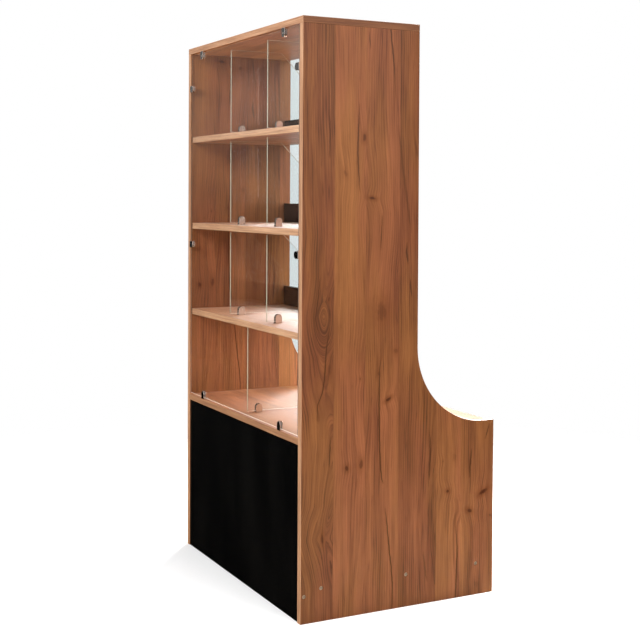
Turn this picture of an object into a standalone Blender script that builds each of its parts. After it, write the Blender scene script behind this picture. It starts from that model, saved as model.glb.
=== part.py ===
"""A tall pastry display case in wood-decor board: stepped side panels, shelves behind one glass pane,
glass dividers between the trays, and the clips, screws and cam connectors that hold it together.

Metres, +Z up. The glazed front faces -Y and the open service side faces +Y. The origin is on the floor,
at the middle of the case's box.
"""

import math

import bmesh
import bpy

# Boards
BOARD = 0.018                # wood-decor board
BLACK_BOARD = 0.016          # black board of the front panel and the lips
CASE_WIDTH = 0.816           # over both side panels
CASE_HEIGHT = 1.568          # floor to the top face
UPPER_DEPTH = 0.350          # side panels above the step
BASE_DEPTH = 0.600           # side panels at the floor
STEP_FLAT = 0.035            # flat rear end of the step, behind its hollow curve
STEP_RISE = 0.004            # flat of the step above the deck
TOP_STOREY = 0.260           # upper shelf to the underside of the top panel
SHELF_PITCH = 0.270          # each shelf to the one below it, and the last to the deck
SHELF_CLEARANCE = 0.0005     # shelf edge behind the inner cheeks of the pane's clips
LIP_SETBACK = 0.006          # lip face inside the rear edge of the side panels
LIP_RISE = 0.062             # lip above the shelf that it closes
FRONT_PANEL_SETBACK = 0.0025
BOTTOM_BOARD_UNDERSIDE = 0.078
BOTTOM_BOARD_SETBACK = 0.016

# Glass
PANE_GLASS = 0.005           # front pane
DIVIDER_GLASS = 0.005
PANE_SETBACK = 0.001         # pane behind the front edge of the side panels
DIVIDER_OFFSET = 0.130       # paired dividers either side of the middle
DIVIDER_SETBACK = 0.031      # divider behind the front edge of the side panels
DIVIDER_REAR_GAP = 0.003     # divider to the lip behind it
DIVIDER_HEADROOM = 0.004     # divider to the board above it, in the lowest storey
DIVIDER_CHAMFER = 0.130      # cut-off upper rear corner, both ways

# Glass clips
CLIP_WIDTH = 0.020
CLIP_REACH = 0.025           # mounting face to the round end
CLIP_CHEEK = 0.0032
CLIP_BRIDGE = 0.004          # solid foot under the slot
TOP_CLIP_INSET = 0.097       # clip centres from the side panels' inner faces
BOTTOM_CLIP_INSET = 0.114
SIDE_CLIP_UNDER_TOP = 0.110  # upper side clips' centres below the top panel
SIDE_CLIP_UNDER_SHELF = 0.049  # lower side clips' centres below the middle shelf
DIVIDER_CLIP_INSET = 0.035   # clip centres from the divider's ends

# Connecting screws, seen as heads on the side panels
SCREW_LENGTH = 0.050
SCREW_HEAD_RADIUS = 0.0048
SCREW_HEAD_HEIGHT = 0.003
SCREW_SHANK_RADIUS = 0.0032
SCREW_POINT = 0.004
SCREW_SUNK = 0.0004          # head below the panel's face
SOCKET_RADIUS = 0.0023
SOCKET_DEPTH = 0.0025
FRONT_SCREW_HEIGHT = 0.071
BOTTOM_SCREW_FRONT = 0.060   # screws into the bottom board, behind the panel's front edge
BOTTOM_SCREW_MIDDLE = 0.317
BOTTOM_SCREW_REAR = 0.057    # the last one, ahead of the panel's rear edge

# Cam connectors, hidden in the board ends
CAM_RADIUS = 0.0075
CAM_DEPTH = 0.0125
CAM_INSET = 0.034            # cam centre from the end of its board
BOLT_RADIUS = 0.0030
BOLT_BITE = 0.011            # bolt in the board that it screws into
CAM_FROM_FRONT = 0.170       # cam centre behind the front edge of the side panels

# Fits
FIT = 0.0003                 # between faces that touch
OVERRUN = 0.002              # cutter past the face that it opens
ARC_STEPS = 20
ROUND_STEPS = 8
CAM_STEPS = 20
SHANK_STEPS = 14

# Values that follow from the sizes above
CLIP_GLASS = max(PANE_GLASS, DIVIDER_GLASS)
CLIP_SLOT = CLIP_GLASS + 2 * FIT
CLIP_THICKNESS = CLIP_SLOT + 2 * CLIP_CHEEK
CLIP_PROUD = CLIP_THICKNESS / 2 - PANE_SETBACK - PANE_GLASS / 2
FRONT_Y = (max(CLIP_PROUD, 0.0) - BASE_DEPTH) / 2
INNER_X = CASE_WIDTH / 2 - BOARD
PANEL_TOP = CASE_HEIGHT - BOARD
UPPER_SHELF_TOP = PANEL_TOP - TOP_STOREY
MIDDLE_SHELF_TOP = UPPER_SHELF_TOP - SHELF_PITCH
LOWER_SHELF_TOP = MIDDLE_SHELF_TOP - SHELF_PITCH
DECK_TOP = LOWER_SHELF_TOP - SHELF_PITCH
STEP_HEIGHT = DECK_TOP + STEP_RISE
STEP_RADIUS = BASE_DEPTH - UPPER_DEPTH - STEP_FLAT
PANE_Y = FRONT_Y + PANE_SETBACK + PANE_GLASS / 2
LIP_FRONT_Y = FRONT_Y + UPPER_DEPTH - LIP_SETBACK - BLACK_BOARD
GLASS_LIFT = CLIP_BRIDGE + 2 * FIT
LOWEST_STOREY = min(TOP_STOREY, SHELF_PITCH - BOARD)
DIVIDER_HEIGHT = LOWEST_STOREY - DIVIDER_HEADROOM - GLASS_LIFT
BOTTOM_BOARD_MIDDLE = BOTTOM_BOARD_UNDERSIDE + BOARD / 2
SHELVES = {
    "upper": UPPER_SHELF_TOP,
    "middle": MIDDLE_SHELF_TOP,
    "lower": LOWER_SHELF_TOP,
}
SIDES = {"left": -1, "right": 1}
QUARTER = math.pi / 2
SHARP_ANGLE = math.radians(35)


# Scene and materials

def clear_scene():
    for item in list(bpy.data.objects):
        bpy.data.objects.remove(item, do_unlink=True)


def make_collection(name):
    collection = bpy.data.collections.new(name)
    bpy.context.scene.collection.children.link(collection)
    return collection


def make_material(name, colour, roughness, metallic=0.0, transmission=0.0):
    material = bpy.data.materials.new(name)
    material.use_nodes = True
    shader = material.node_tree.nodes["Principled BSDF"]
    shader.inputs["Base Color"].default_value = (*colour, 1.0)
    shader.inputs["Roughness"].default_value = roughness
    shader.inputs["Metallic"].default_value = metallic
    shader.inputs["Transmission Weight"].default_value = transmission
    material.diffuse_color = (*colour, 1.0)
    return material


clear_scene()
CASE = make_collection("pastry_display_case")
CUTTERS = make_collection("cutters")
ROOT = bpy.data.objects.new("case_origin", None)
CASE.objects.link(ROOT)

WOOD = make_material("oak decor board", (0.25, 0.10, 0.05), 0.5)
BLACK = make_material("black board", (0.01, 0.01, 0.01), 0.4)
GLASS = make_material("clear glass", (0.90, 0.96, 0.97), 0.02, transmission=1.0)
NICKEL = make_material("plated clip metal", (0.62, 0.60, 0.57), 0.2, metallic=1.0)
STEEL = make_material("zinc screw steel", (0.70, 0.66, 0.58), 0.35, metallic=1.0)
CAM_ZINC = make_material("cam zinc", (0.45, 0.45, 0.47), 0.4, metallic=1.0)


# Shapes

def place(name, mesh, material, location, rotation=(0.0, 0.0, 0.0)):
    """A named piece of the case, hung from its origin."""
    piece = bpy.data.objects.new(name, mesh)
    if not mesh.materials:
        mesh.materials.append(material)
    piece.location = location
    piece.rotation_euler = rotation
    piece.parent = ROOT
    CASE.objects.link(piece)
    return piece


def box_mesh(name, size):
    mesh = bpy.data.meshes.new(name)
    shape = bmesh.new()
    bmesh.ops.create_cube(shape, size=1.0)
    bmesh.ops.scale(shape, vec=size, verts=shape.verts)
    shape.to_mesh(mesh)
    shape.free()
    return mesh


def board(name, material, x_range, y_range, z_range):
    """A rectangular board between two limits on each axis."""
    ranges = (x_range, y_range, z_range)
    size = [high - low for low, high in ranges]
    middle = [(high + low) / 2 for low, high in ranges]
    return place(name, box_mesh(name, size), material, middle)


def cylinder_mesh(name, radius, length, steps):
    mesh = bpy.data.meshes.new(name)
    shape = bmesh.new()
    bmesh.ops.create_cone(
        shape, cap_ends=True, segments=steps, radius1=radius, radius2=radius, depth=length
    )
    shape.to_mesh(mesh)
    shape.free()
    return mesh


def solid_of(item):
    """The object's shape where it stands, as a plain mesh with its caps welded; the object is removed."""
    bpy.context.view_layer.update()
    graph = bpy.context.evaluated_depsgraph_get()
    mesh = bpy.data.meshes.new_from_object(item.evaluated_get(graph))
    mesh.transform(item.matrix_world)
    shape = bmesh.new()
    shape.from_mesh(mesh)
    bmesh.ops.remove_doubles(shape, verts=shape.verts, dist=1e-6)
    bmesh.ops.recalc_face_normals(shape, faces=shape.faces)
    shape.to_mesh(mesh)
    shape.free()
    mesh.shade_smooth()
    mesh.set_sharp_from_angle(angle=SHARP_ANGLE)
    mesh.name = item.name
    bpy.data.objects.remove(item, do_unlink=True)
    return mesh


def plate_mesh(name, outline, thickness):
    """A flat closed outline in X and Y, as thick as given about Z."""
    curve = bpy.data.curves.new(name, "CURVE")
    curve.dimensions = "2D"
    curve.fill_mode = "BOTH"
    curve.extrude = thickness / 2
    spline = curve.splines.new("POLY")
    spline.points.add(len(outline) - 1)
    for point, (x, y) in zip(spline.points, outline):
        point.co = (x, y, 0.0, 1.0)
    spline.use_cyclic_u = True
    item = bpy.data.objects.new(name, curve)
    CUTTERS.objects.link(item)
    return solid_of(item)


def arc(centre, radius, start, end, steps):
    points = []
    for step in range(steps + 1):
        angle = start + (end - start) * step / steps
        points.append((centre[0] + radius * math.cos(angle), centre[1] + radius * math.sin(angle)))
    return points


# Cutting

def cutter_group(name):
    group = bpy.data.collections.new(name)
    CUTTERS.children.link(group)
    return group


def as_cutter(name, mesh, group, location=(0.0, 0.0, 0.0), rotation=(0.0, 0.0, 0.0)):
    cutter = bpy.data.objects.new(name, mesh)
    cutter.location = location
    cutter.rotation_euler = rotation
    cutter.hide_render = True
    cutter.display_type = "WIRE"
    group.objects.link(cutter)
    return cutter


def bore(group, axis, start, length, radius, steps):
    """A round cutter from a point along an axis, forwards where the length is positive."""
    rotations = {"x": (0.0, QUARTER, 0.0), "y": (QUARTER, 0.0, 0.0), "z": (0.0, 0.0, 0.0)}
    centre = list(start)
    centre["xyz".index(axis)] += length / 2
    name = f"{group.name}_bore_{len(group.objects)}"
    mesh = cylinder_mesh(name, radius, abs(length), steps)
    as_cutter(name, mesh, group, centre, rotations[axis])


def cut(piece, group):
    boolean = piece.modifiers.new("bores", "BOOLEAN")
    boolean.operation = "DIFFERENCE"
    boolean.solver = "EXACT"
    boolean.operand_type = "COLLECTION"
    boolean.collection = group


# Shared hardware shapes

def clip_mesh():
    """A D-shaped clip on the XY plane: two cheeks over a solid foot, reaching up Z, glass across Y."""
    half = CLIP_WIDTH / 2
    outline = [(-half, 0.0), (half, 0.0)]
    outline += arc((0.0, CLIP_REACH - half), half, 0.0, math.pi, ROUND_STEPS * 2)
    blank = bpy.data.objects.new("glass_clip", plate_mesh("clip_blank", outline, CLIP_THICKNESS))
    blank.rotation_euler = (QUARTER, 0.0, 0.0)
    CUTTERS.objects.link(blank)
    group = cutter_group("clip_cutters")
    slot_height = CLIP_REACH - CLIP_BRIDGE + OVERRUN
    slot = box_mesh("clip_slot", (CLIP_WIDTH + 2 * OVERRUN, CLIP_SLOT, slot_height))
    as_cutter("clip_slot", slot, group, (0.0, 0.0, CLIP_BRIDGE + slot_height / 2))
    cut(blank, group)
    return solid_of(blank)


def screw_mesh():
    """A connecting screw about Z: head up at the origin, a socket in it, point down."""
    outer = [
        (0.0, 0.0),
        (SCREW_HEAD_RADIUS, 0.0),
        (SCREW_HEAD_RADIUS, -SCREW_HEAD_HEIGHT),
        (SCREW_SHANK_RADIUS, -SCREW_HEAD_HEIGHT - (SCREW_HEAD_RADIUS - SCREW_SHANK_RADIUS)),
        (SCREW_SHANK_RADIUS, SCREW_POINT - SCREW_LENGTH),
        (0.0, -SCREW_LENGTH),
    ]
    mesh = bpy.data.meshes.new("screw_profile")
    profile = bmesh.new()
    points = [profile.verts.new((radius, 0.0, height)) for radius, height in outer]
    for above, below in zip(points, points[1:]):
        profile.edges.new((above, below))
    profile.to_mesh(mesh)
    profile.free()
    turned = bpy.data.objects.new("connecting_screw", mesh)
    CUTTERS.objects.link(turned)
    lathe = turned.modifiers.new("turn", "SCREW")
    lathe.steps = SHANK_STEPS
    lathe.render_steps = SHANK_STEPS
    lathe.use_merge_vertices = True
    lathe.merge_threshold = 0.0001
    group = cutter_group("screw_cutters")
    bore(group, "z", (0.0, 0.0, OVERRUN), -OVERRUN - SOCKET_DEPTH, SOCKET_RADIUS, 6)
    cut(turned, group)
    return solid_of(turned)


def cam_mesh():
    """A cam connector: the housing stands on the XY plane at the origin, and its bolt runs along +X."""
    housing = bpy.data.objects.new(
        "cam_connector", cylinder_mesh("cam_housing", CAM_RADIUS, CAM_DEPTH, CAM_STEPS)
    )
    housing.location = (0.0, 0.0, CAM_DEPTH / 2)
    CUTTERS.objects.link(housing)
    length = CAM_INSET + BOLT_BITE
    bolt = as_cutter(
        "cam_bolt",
        cylinder_mesh("cam_bolt", BOLT_RADIUS, length, SHANK_STEPS),
        CUTTERS,
        (length / 2, 0.0, BOARD / 2),
        (0.0, QUARTER, 0.0),
    )
    joined = housing.modifiers.new("join", "BOOLEAN")
    joined.operation = "UNION"
    joined.solver = "EXACT"
    joined.object = bolt
    return solid_of(housing)


CLIP = clip_mesh()
SCREW = screw_mesh()
CAM = cam_mesh()


# Boards of the carcass

def side_outline():
    """Depth from the front edge and height of a side panel, with its hollow step at the rear."""
    curve = arc(
        (UPPER_DEPTH + STEP_RADIUS, STEP_HEIGHT + STEP_RADIUS), STEP_RADIUS, 3 * QUARTER, math.pi, ARC_STEPS
    )
    corners = [(0.0, 0.0), (BASE_DEPTH, 0.0), (BASE_DEPTH, STEP_HEIGHT)]
    return corners + curve + [(UPPER_DEPTH, PANEL_TOP - FIT), (0.0, PANEL_TOP - FIT)]


def side_panels():
    for side, sign in SIDES.items():
        name = f"{side}_side_panel"
        panel = place(
            name,
            plate_mesh(name, side_outline(), BOARD),
            WOOD,
            (sign * (CASE_WIDTH - BOARD) / 2, FRONT_Y, 0.0),
            (QUARTER, 0.0, QUARTER),
        )
        cut(panel, PANEL_BORES[side])


def carcass_boards():
    inside = (-INNER_X + FIT, INNER_X - FIT)
    outside = (-CASE_WIDTH / 2, CASE_WIDTH / 2)
    top = board(
        "top_panel", WOOD, outside, (FRONT_Y, FRONT_Y + UPPER_DEPTH), (PANEL_TOP, CASE_HEIGHT)
    )
    cut(top, BOARD_BORES["top_panel"])
    shelf_y = (PANE_Y + CLIP_THICKNESS / 2 + SHELF_CLEARANCE, LIP_FRONT_Y - FIT)
    for level, height in SHELVES.items():
        name = f"{level}_shelf"
        shelf = board(name, WOOD, inside, shelf_y, (height - BOARD, height))
        cut(shelf, BOARD_BORES[name])
        board(
            f"{level}_shelf_lip",
            BLACK,
            inside,
            (LIP_FRONT_Y, LIP_FRONT_Y + BLACK_BOARD),
            (height - BOARD, height + LIP_RISE),
        )
    deck_y = (FRONT_Y, FRONT_Y + BASE_DEPTH)
    deck = board("deck_panel", WOOD, inside, deck_y, (DECK_TOP - BOARD, DECK_TOP))
    cut(deck, BOARD_BORES["deck_panel"])
    front_y = (FRONT_Y + FRONT_PANEL_SETBACK, FRONT_Y + FRONT_PANEL_SETBACK + BLACK_BOARD)
    front = board("front_lower_panel", BLACK, inside, front_y, (0.0, DECK_TOP - BOARD - FIT))
    cut(front, BOARD_BORES["front_lower_panel"])
    bottom_y = (front_y[1] + FIT, FRONT_Y + BASE_DEPTH - BOTTOM_BOARD_SETBACK)
    bottom_z = (BOTTOM_BOARD_UNDERSIDE, BOTTOM_BOARD_UNDERSIDE + BOARD)
    bottom = board("bottom_board", WOOD, inside, bottom_y, bottom_z)
    cut(bottom, BOARD_BORES["bottom_board"])


# Screws and cams, each with the bores that it sits in

PANEL_BORES = {side: cutter_group(f"{side}_panel_bores") for side in SIDES}
CONNECTED = ["upper_shelf", "middle_shelf", "lower_shelf", "deck_panel"]
BORED = CONNECTED + ["top_panel", "front_lower_panel", "bottom_board"]
BOARD_BORES = {name: cutter_group(f"{name}_bores") for name in BORED}


def connecting_screw(side, name, target, y, z):
    """A screw through a side panel into the end of a board."""
    sign = SIDES[side]
    face = sign * CASE_WIDTH / 2
    head = face - sign * SCREW_SUNK
    place(name, SCREW, STEEL, (head, y, z), (0.0, sign * QUARTER, 0.0))
    panel_bores = PANEL_BORES[side]
    sink = SCREW_SUNK + SCREW_LENGTH + FIT
    head_sink = SCREW_SUNK + SCREW_HEAD_HEIGHT + (SCREW_HEAD_RADIUS - SCREW_SHANK_RADIUS) + FIT
    start = (face + sign * OVERRUN, y, z)
    bore(panel_bores, "x", start, -sign * (OVERRUN + head_sink), SCREW_HEAD_RADIUS + FIT, SHANK_STEPS)
    bore(panel_bores, "x", start, -sign * (OVERRUN + BOARD + OVERRUN), SCREW_SHANK_RADIUS + FIT, SHANK_STEPS)
    end_start = (sign * INNER_X, y, z)
    bore(BOARD_BORES[target], "x", end_start, -sign * (sink - BOARD), SCREW_SHANK_RADIUS + FIT, SHANK_STEPS)


def connecting_screws():
    front_middle = FRONT_Y + FRONT_PANEL_SETBACK + BLACK_BOARD / 2
    bottom_rows = {
        "front": BOTTOM_SCREW_FRONT,
        "middle": BOTTOM_SCREW_MIDDLE,
        "rear": BASE_DEPTH - BOTTOM_SCREW_REAR,
    }
    for side in SIDES:
        name = f"{side}_front_panel_screw"
        connecting_screw(side, name, "front_lower_panel", front_middle, FRONT_SCREW_HEIGHT)
        for row, depth in bottom_rows.items():
            name = f"{side}_bottom_screw_{row}"
            connecting_screw(side, name, "bottom_board", FRONT_Y + depth, BOTTOM_BOARD_MIDDLE)


def shelf_cam(side, target, height):
    """A cam in a level board's underside, with its bolt in the side panel."""
    sign = SIDES[side]
    end = sign * (INNER_X - FIT)
    y = FRONT_Y + CAM_FROM_FRONT
    underside = height - BOARD
    turn = 0.0 if sign > 0 else math.pi
    centre = end - sign * CAM_INSET
    place(f"{target}_cam_{side}", CAM, CAM_ZINC, (centre, y, underside), (0.0, 0.0, turn))
    bores = BOARD_BORES[target]
    start = (centre, y, underside - OVERRUN)
    bore(bores, "z", start, OVERRUN + CAM_DEPTH + FIT, CAM_RADIUS + FIT, CAM_STEPS)
    middle = (centre, y, underside + BOARD / 2)
    bore(bores, "x", middle, sign * (CAM_INSET + OVERRUN), BOLT_RADIUS + FIT, SHANK_STEPS)
    inner = (sign * (INNER_X - OVERRUN), y, underside + BOARD / 2)
    bore(PANEL_BORES[side], "x", inner, sign * (OVERRUN + BOLT_BITE + FIT), BOLT_RADIUS + FIT, SHANK_STEPS)


def top_cam(side):
    """A cam in a side panel's inner face, with its bolt up into the top panel."""
    sign = SIDES[side]
    y = FRONT_Y + CAM_FROM_FRONT
    centre = PANEL_TOP - CAM_INSET
    turn = (0.0, -QUARTER, 0.0 if sign < 0 else math.pi)
    place(f"top_panel_cam_{side}", CAM, CAM_ZINC, (sign * INNER_X, y, centre), turn)
    bores = PANEL_BORES[side]
    start = (sign * (INNER_X - OVERRUN), y, centre)
    bore(bores, "x", start, sign * (OVERRUN + CAM_DEPTH + FIT), CAM_RADIUS + FIT, CAM_STEPS)
    middle = (sign * (INNER_X + BOARD / 2), y, centre)
    bore(bores, "z", middle, CAM_INSET + OVERRUN, BOLT_RADIUS + FIT, SHANK_STEPS)
    under = (sign * (INNER_X + BOARD / 2), y, PANEL_TOP - OVERRUN)
    bore(BOARD_BORES["top_panel"], "z", under, OVERRUN + BOLT_BITE + FIT, BOLT_RADIUS + FIT, SHANK_STEPS)


def cam_connectors():
    heights = dict(zip(CONNECTED, (UPPER_SHELF_TOP, MIDDLE_SHELF_TOP, LOWER_SHELF_TOP, DECK_TOP)))
    for side in SIDES:
        for target, height in heights.items():
            shelf_cam(side, target, height)
        top_cam(side)


# Glass

def glass_clip(name, location, rotation):
    place(name, CLIP, NICKEL, location, rotation)


def front_pane():
    """One pane over all four storeys, held clear of the boards by its clips."""
    half = INNER_X - GLASS_LIFT
    y_range = (PANE_Y - PANE_GLASS / 2, PANE_Y + PANE_GLASS / 2)
    board("front_glass_pane", GLASS, (-half, half), y_range, (DECK_TOP + GLASS_LIFT, PANEL_TOP - GLASS_LIFT))
    for side, sign in SIDES.items():
        top_x = sign * (INNER_X - TOP_CLIP_INSET)
        glass_clip(f"pane_clip_top_{side}", (top_x, PANE_Y, PANEL_TOP - FIT), (0.0, math.pi, 0.0))
        bottom_x = sign * (INNER_X - BOTTOM_CLIP_INSET)
        glass_clip(f"pane_clip_bottom_{side}", (bottom_x, PANE_Y, DECK_TOP + FIT), (0.0, 0.0, 0.0))
        side_x = sign * (INNER_X - FIT)
        turn = (0.0, -sign * QUARTER, 0.0)
        upper_z = PANEL_TOP - SIDE_CLIP_UNDER_TOP
        glass_clip(f"pane_clip_{side}_upper", (side_x, PANE_Y, upper_z), turn)
        lower_z = MIDDLE_SHELF_TOP - BOARD - SIDE_CLIP_UNDER_SHELF
        glass_clip(f"pane_clip_{side}_lower", (side_x, PANE_Y, lower_z), turn)


def divider(name, x, floor):
    """A glass plate on edge across the shelf, its upper rear corner cut off, on two clips."""
    front = FRONT_Y + DIVIDER_SETBACK
    length = LIP_FRONT_Y - DIVIDER_REAR_GAP - front
    outline = [
        (0.0, 0.0),
        (length, 0.0),
        (length, DIVIDER_HEIGHT - DIVIDER_CHAMFER),
        (length - DIVIDER_CHAMFER, DIVIDER_HEIGHT),
        (0.0, DIVIDER_HEIGHT),
    ]
    mesh = plate_mesh(name, outline, DIVIDER_GLASS)
    place(name, mesh, GLASS, (x, front, floor + GLASS_LIFT), (QUARTER, 0.0, QUARTER))
    ends = {"front": front + DIVIDER_CLIP_INSET, "rear": front + length - DIVIDER_CLIP_INSET}
    for end, y in ends.items():
        glass_clip(f"{name}_clip_{end}", (x, y, floor + FIT), (0.0, 0.0, QUARTER))


def dividers():
    """Plates of one size: a pair on each shelf and one in the middle of the deck."""
    for level, floor in SHELVES.items():
        for side, sign in SIDES.items():
            divider(f"{level}_divider_{side}", sign * DIVIDER_OFFSET, floor)
    divider("deck_divider", 0.0, DECK_TOP)


connecting_screws()
cam_connectors()
side_panels()
carcass_boards()
front_pane()
dividers()
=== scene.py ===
# %% [markdown]
# # A pastry display case
# This tall shop case is built like flat-pack furniture: boards with a printed oak face, a black board
# below the glass and black lips behind the shelves, one big pane held by small plated clips, and glass
# dividers. The CAD parts give every size. We load them first, keep their box, and then model each piece
# again with the small things that the eye looks for: edge banding, eased corners, ground glass edges,
# pads and screws.

import math

import bmesh
import bpy
from mathutils import Matrix, Vector


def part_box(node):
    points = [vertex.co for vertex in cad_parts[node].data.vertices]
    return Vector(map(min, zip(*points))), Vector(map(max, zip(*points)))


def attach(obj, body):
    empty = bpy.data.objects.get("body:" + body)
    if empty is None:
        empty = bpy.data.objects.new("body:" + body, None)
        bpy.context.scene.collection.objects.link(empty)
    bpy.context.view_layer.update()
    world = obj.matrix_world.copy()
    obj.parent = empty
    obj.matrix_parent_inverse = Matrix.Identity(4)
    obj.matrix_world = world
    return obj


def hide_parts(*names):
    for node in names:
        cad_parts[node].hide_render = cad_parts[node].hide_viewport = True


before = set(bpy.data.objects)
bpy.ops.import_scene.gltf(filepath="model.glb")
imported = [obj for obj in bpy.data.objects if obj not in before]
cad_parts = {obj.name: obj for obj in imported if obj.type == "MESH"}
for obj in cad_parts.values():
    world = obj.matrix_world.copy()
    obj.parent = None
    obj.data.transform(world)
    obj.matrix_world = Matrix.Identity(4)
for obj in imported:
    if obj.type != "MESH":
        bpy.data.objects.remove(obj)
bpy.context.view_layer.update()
X, Y, Z = 0, 1, 2
MM = 1000    # millimetres in a metre
print("CAD nodes:", len(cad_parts))

# %% [markdown]
# ## Picking things up
# In Blender an operator works on whatever is selected, so a maker's first habit is to put everything
# down. These helpers do that, open a piece in edit mode, and choose faces or edges by where they are,
# the way you would click on them. Choosing by number is shorter, but the numbers change with every step
# before.

# %% Hands
FACING = 0.9       # a face looks along an axis when this much of its normal does
CLOSE = 0.00005    # places nearer than this are the same


def put_down():
    """Object mode, nothing selected."""
    if bpy.context.mode != "OBJECT":
        bpy.ops.object.mode_set(mode="OBJECT")
    bpy.ops.object.select_all(action="DESELECT")


def pick_up(piece):
    put_down()
    piece.select_set(True)
    bpy.context.view_layer.objects.active = piece


def open_up(piece, kind):
    """Edit mode on one piece with nothing chosen yet."""
    pick_up(piece)
    bpy.ops.object.mode_set(mode="EDIT")
    bpy.ops.mesh.select_mode(type=kind)
    bpy.ops.mesh.select_all(action="DESELECT")
    return bmesh.from_edit_mesh(piece.data)


def choose_faces(piece, wanted):
    """Chooses the faces whose middle and normal pass the test."""
    shape = open_up(piece, "FACE")
    chosen = [face for face in shape.faces if wanted(face.calc_center_median(), face.normal)]
    for face in chosen:
        face.select_set(True)
    bmesh.update_edit_mesh(piece.data)


def choose_edges(piece, wanted):
    """Chooses the edges whose two ends both pass the test."""
    shape = open_up(piece, "EDGE")
    chosen = [edge for edge in shape.edges if all(wanted(end.co) for end in edge.verts)]
    for edge in chosen:
        edge.select_set(True)
    bmesh.update_edit_mesh(piece.data)


def near(value, target, slack=CLOSE):
    return abs(value - target) < slack


print("places closer than", CLOSE * MM, "mm count as one")

# %% [markdown]
# ## Blanks and rods
# A joiner starts from a blank cut to size, and a turner from a round rod. Here a blank is a cube and a
# rod is a cylinder, each added at its size and place. The size goes into the mesh at once, because a
# bevel on a cube that is only scaled would come out stretched.

# %% Blanks and rods
QUARTER = math.pi / 2
ROD_TURNS = {X: (0, QUARTER, 0), Y: (QUARTER, 0, 0), Z: (0, 0, 0)}


def settle(name):
    """Names the new piece and puts its place, turn and size into its mesh."""
    piece = bpy.context.object
    piece.name = name
    bpy.ops.object.transform_apply(location=True, rotation=True, scale=True)
    return piece


def blank(name, low, high):
    """A block between two corners."""
    put_down()
    low, high = Vector(low), Vector(high)
    bpy.ops.mesh.primitive_cube_add(size=1, location=(low + high) / 2, scale=high - low)
    return settle(name)


def rod(name, axis, centre, radius, length, sides=32):
    """A round bar along one axis."""
    put_down()
    bpy.ops.mesh.primitive_cylinder_add(
        vertices=sides, radius=radius, depth=length, location=centre, rotation=ROD_TURNS[axis]
    )
    return settle(name)


print("rods can lie along", len(ROD_TURNS), "axes")

# %% [markdown]
# ## Bores and eased corners
# A real board is drilled and then loses its sharp corners. Here a bore is a rod taken away with a
# Boolean, and easing is a small Bevel that only touches corners sharper than forty degrees. Modifiers
# could stay live, but they are applied at once, so that the next step can choose the faces that they
# made.

# %% Shaping tools
EASING_ANGLE = math.radians(40)
SMOOTH_ANGLE = math.radians(35)
DRILL_START = 0.002
WELD = 0.000004


def apply_modifier(piece, kind, **settings):
    """Adds one modifier, sets it up and applies it."""
    pick_up(piece)
    modifier = piece.modifiers.new(kind.lower(), kind)
    for name, value in settings.items():
        setattr(modifier, name, value)
    bpy.ops.object.modifier_apply(modifier=modifier.name)


def take_away(piece, cutter):
    apply_modifier(piece, "BOOLEAN", operation="DIFFERENCE", solver="EXACT", object=cutter)
    bpy.data.objects.remove(cutter, do_unlink=True)


def bore(piece, axis, start, depth, radius):
    """A blind round hole from a face; the drill starts a little outside it."""
    middle = Vector(start)
    outside = math.copysign(DRILL_START, depth)
    middle[axis] += (depth - outside) / 2
    take_away(piece, rod("drill", axis, middle, radius, abs(depth) + DRILL_START))


def ease(piece, width, steps=2):
    apply_modifier(
        piece, "BEVEL", width=width, segments=steps, limit_method="ANGLE", angle_limit=EASING_ANGLE
    )


def clean(piece):
    """Welds doubled corners, turns every face outward and shades by angle, big faces staying flat."""
    open_up(piece, "VERT")
    bpy.ops.mesh.select_all(action="SELECT")
    bpy.ops.mesh.remove_doubles(threshold=WELD)
    bpy.ops.mesh.normals_make_consistent(inside=False)
    pick_up(piece)
    bpy.ops.object.shade_smooth_by_angle(angle=SMOOTH_ANGLE)
    apply_modifier(piece, "WEIGHTED_NORMAL", keep_sharp=True)


print("corners over", round(math.degrees(EASING_ANGLE)), "degrees are eased")

# %% [markdown]
# ## Dressing and fitting
# A finished piece gets its materials and goes on the case. It rides on the case's only body, and it may
# replace a CAD node. Pieces could stay loose, but those that are never taken apart, such as a clip with
# its pads, are joined first.

# %% Fitting tools
def dress(piece, *materials):
    piece.data.materials.clear()
    for material in materials:
        piece.data.materials.append(material)


def join(main, *others):
    """Several solids carried as one piece; each keeps its own material."""
    put_down()
    for other in others:
        other.select_set(True)
    main.select_set(True)
    bpy.context.view_layer.objects.active = main
    bpy.ops.object.join()
    return main


def fit_to_case(piece, slot, *nodes):
    """Hangs a finished piece on the case in place of its CAD nodes."""
    put_down()
    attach(piece, "root")
    if nodes:
        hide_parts(*nodes)


print("CAD nodes to replace:", len(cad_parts))

# %% [markdown]
# ## Wiring materials
# Every finish below is a web of nodes. It could be wired by hand in the shader editor, but a web of
# hundreds of nodes is easier to read as sums. Short helpers keep it so: one adds a node, one does sums,
# one fades between two values, and one turns a display colour such as "#925c42" into the linear light
# that the shader wants.

# %% Node helpers
def tone(code):
    """A display colour as linear light."""
    parts = [int(code[i : i + 2], 16) / 255 for i in (1, 3, 5)]
    linear = [c / 12.92 if c <= 0.04045 else ((c + 0.055) / 1.055) ** 2.4 for c in parts]
    return (*linear, 1.0)


def feed(tree, socket, value):
    if isinstance(value, bpy.types.NodeSocket):
        tree.links.new(value, socket)
    else:
        socket.default_value = value


def add_node(tree, kind, feeds, **settings):
    made = tree.nodes.new(kind)
    for name, value in settings.items():
        setattr(made, name, value)
    for name, value in feeds.items():
        feed(tree, made.inputs[name], value)
    return made


def calc(tree, operation, *values, clamp=False):
    feeds = dict(enumerate(values))
    return add_node(tree, "ShaderNodeMath", feeds, operation=operation, use_clamp=clamp).outputs[0]


def move(tree, operation, *vectors):
    feeds = dict(enumerate(vectors))
    return add_node(tree, "ShaderNodeVectorMath", feeds, operation=operation).outputs


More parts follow.
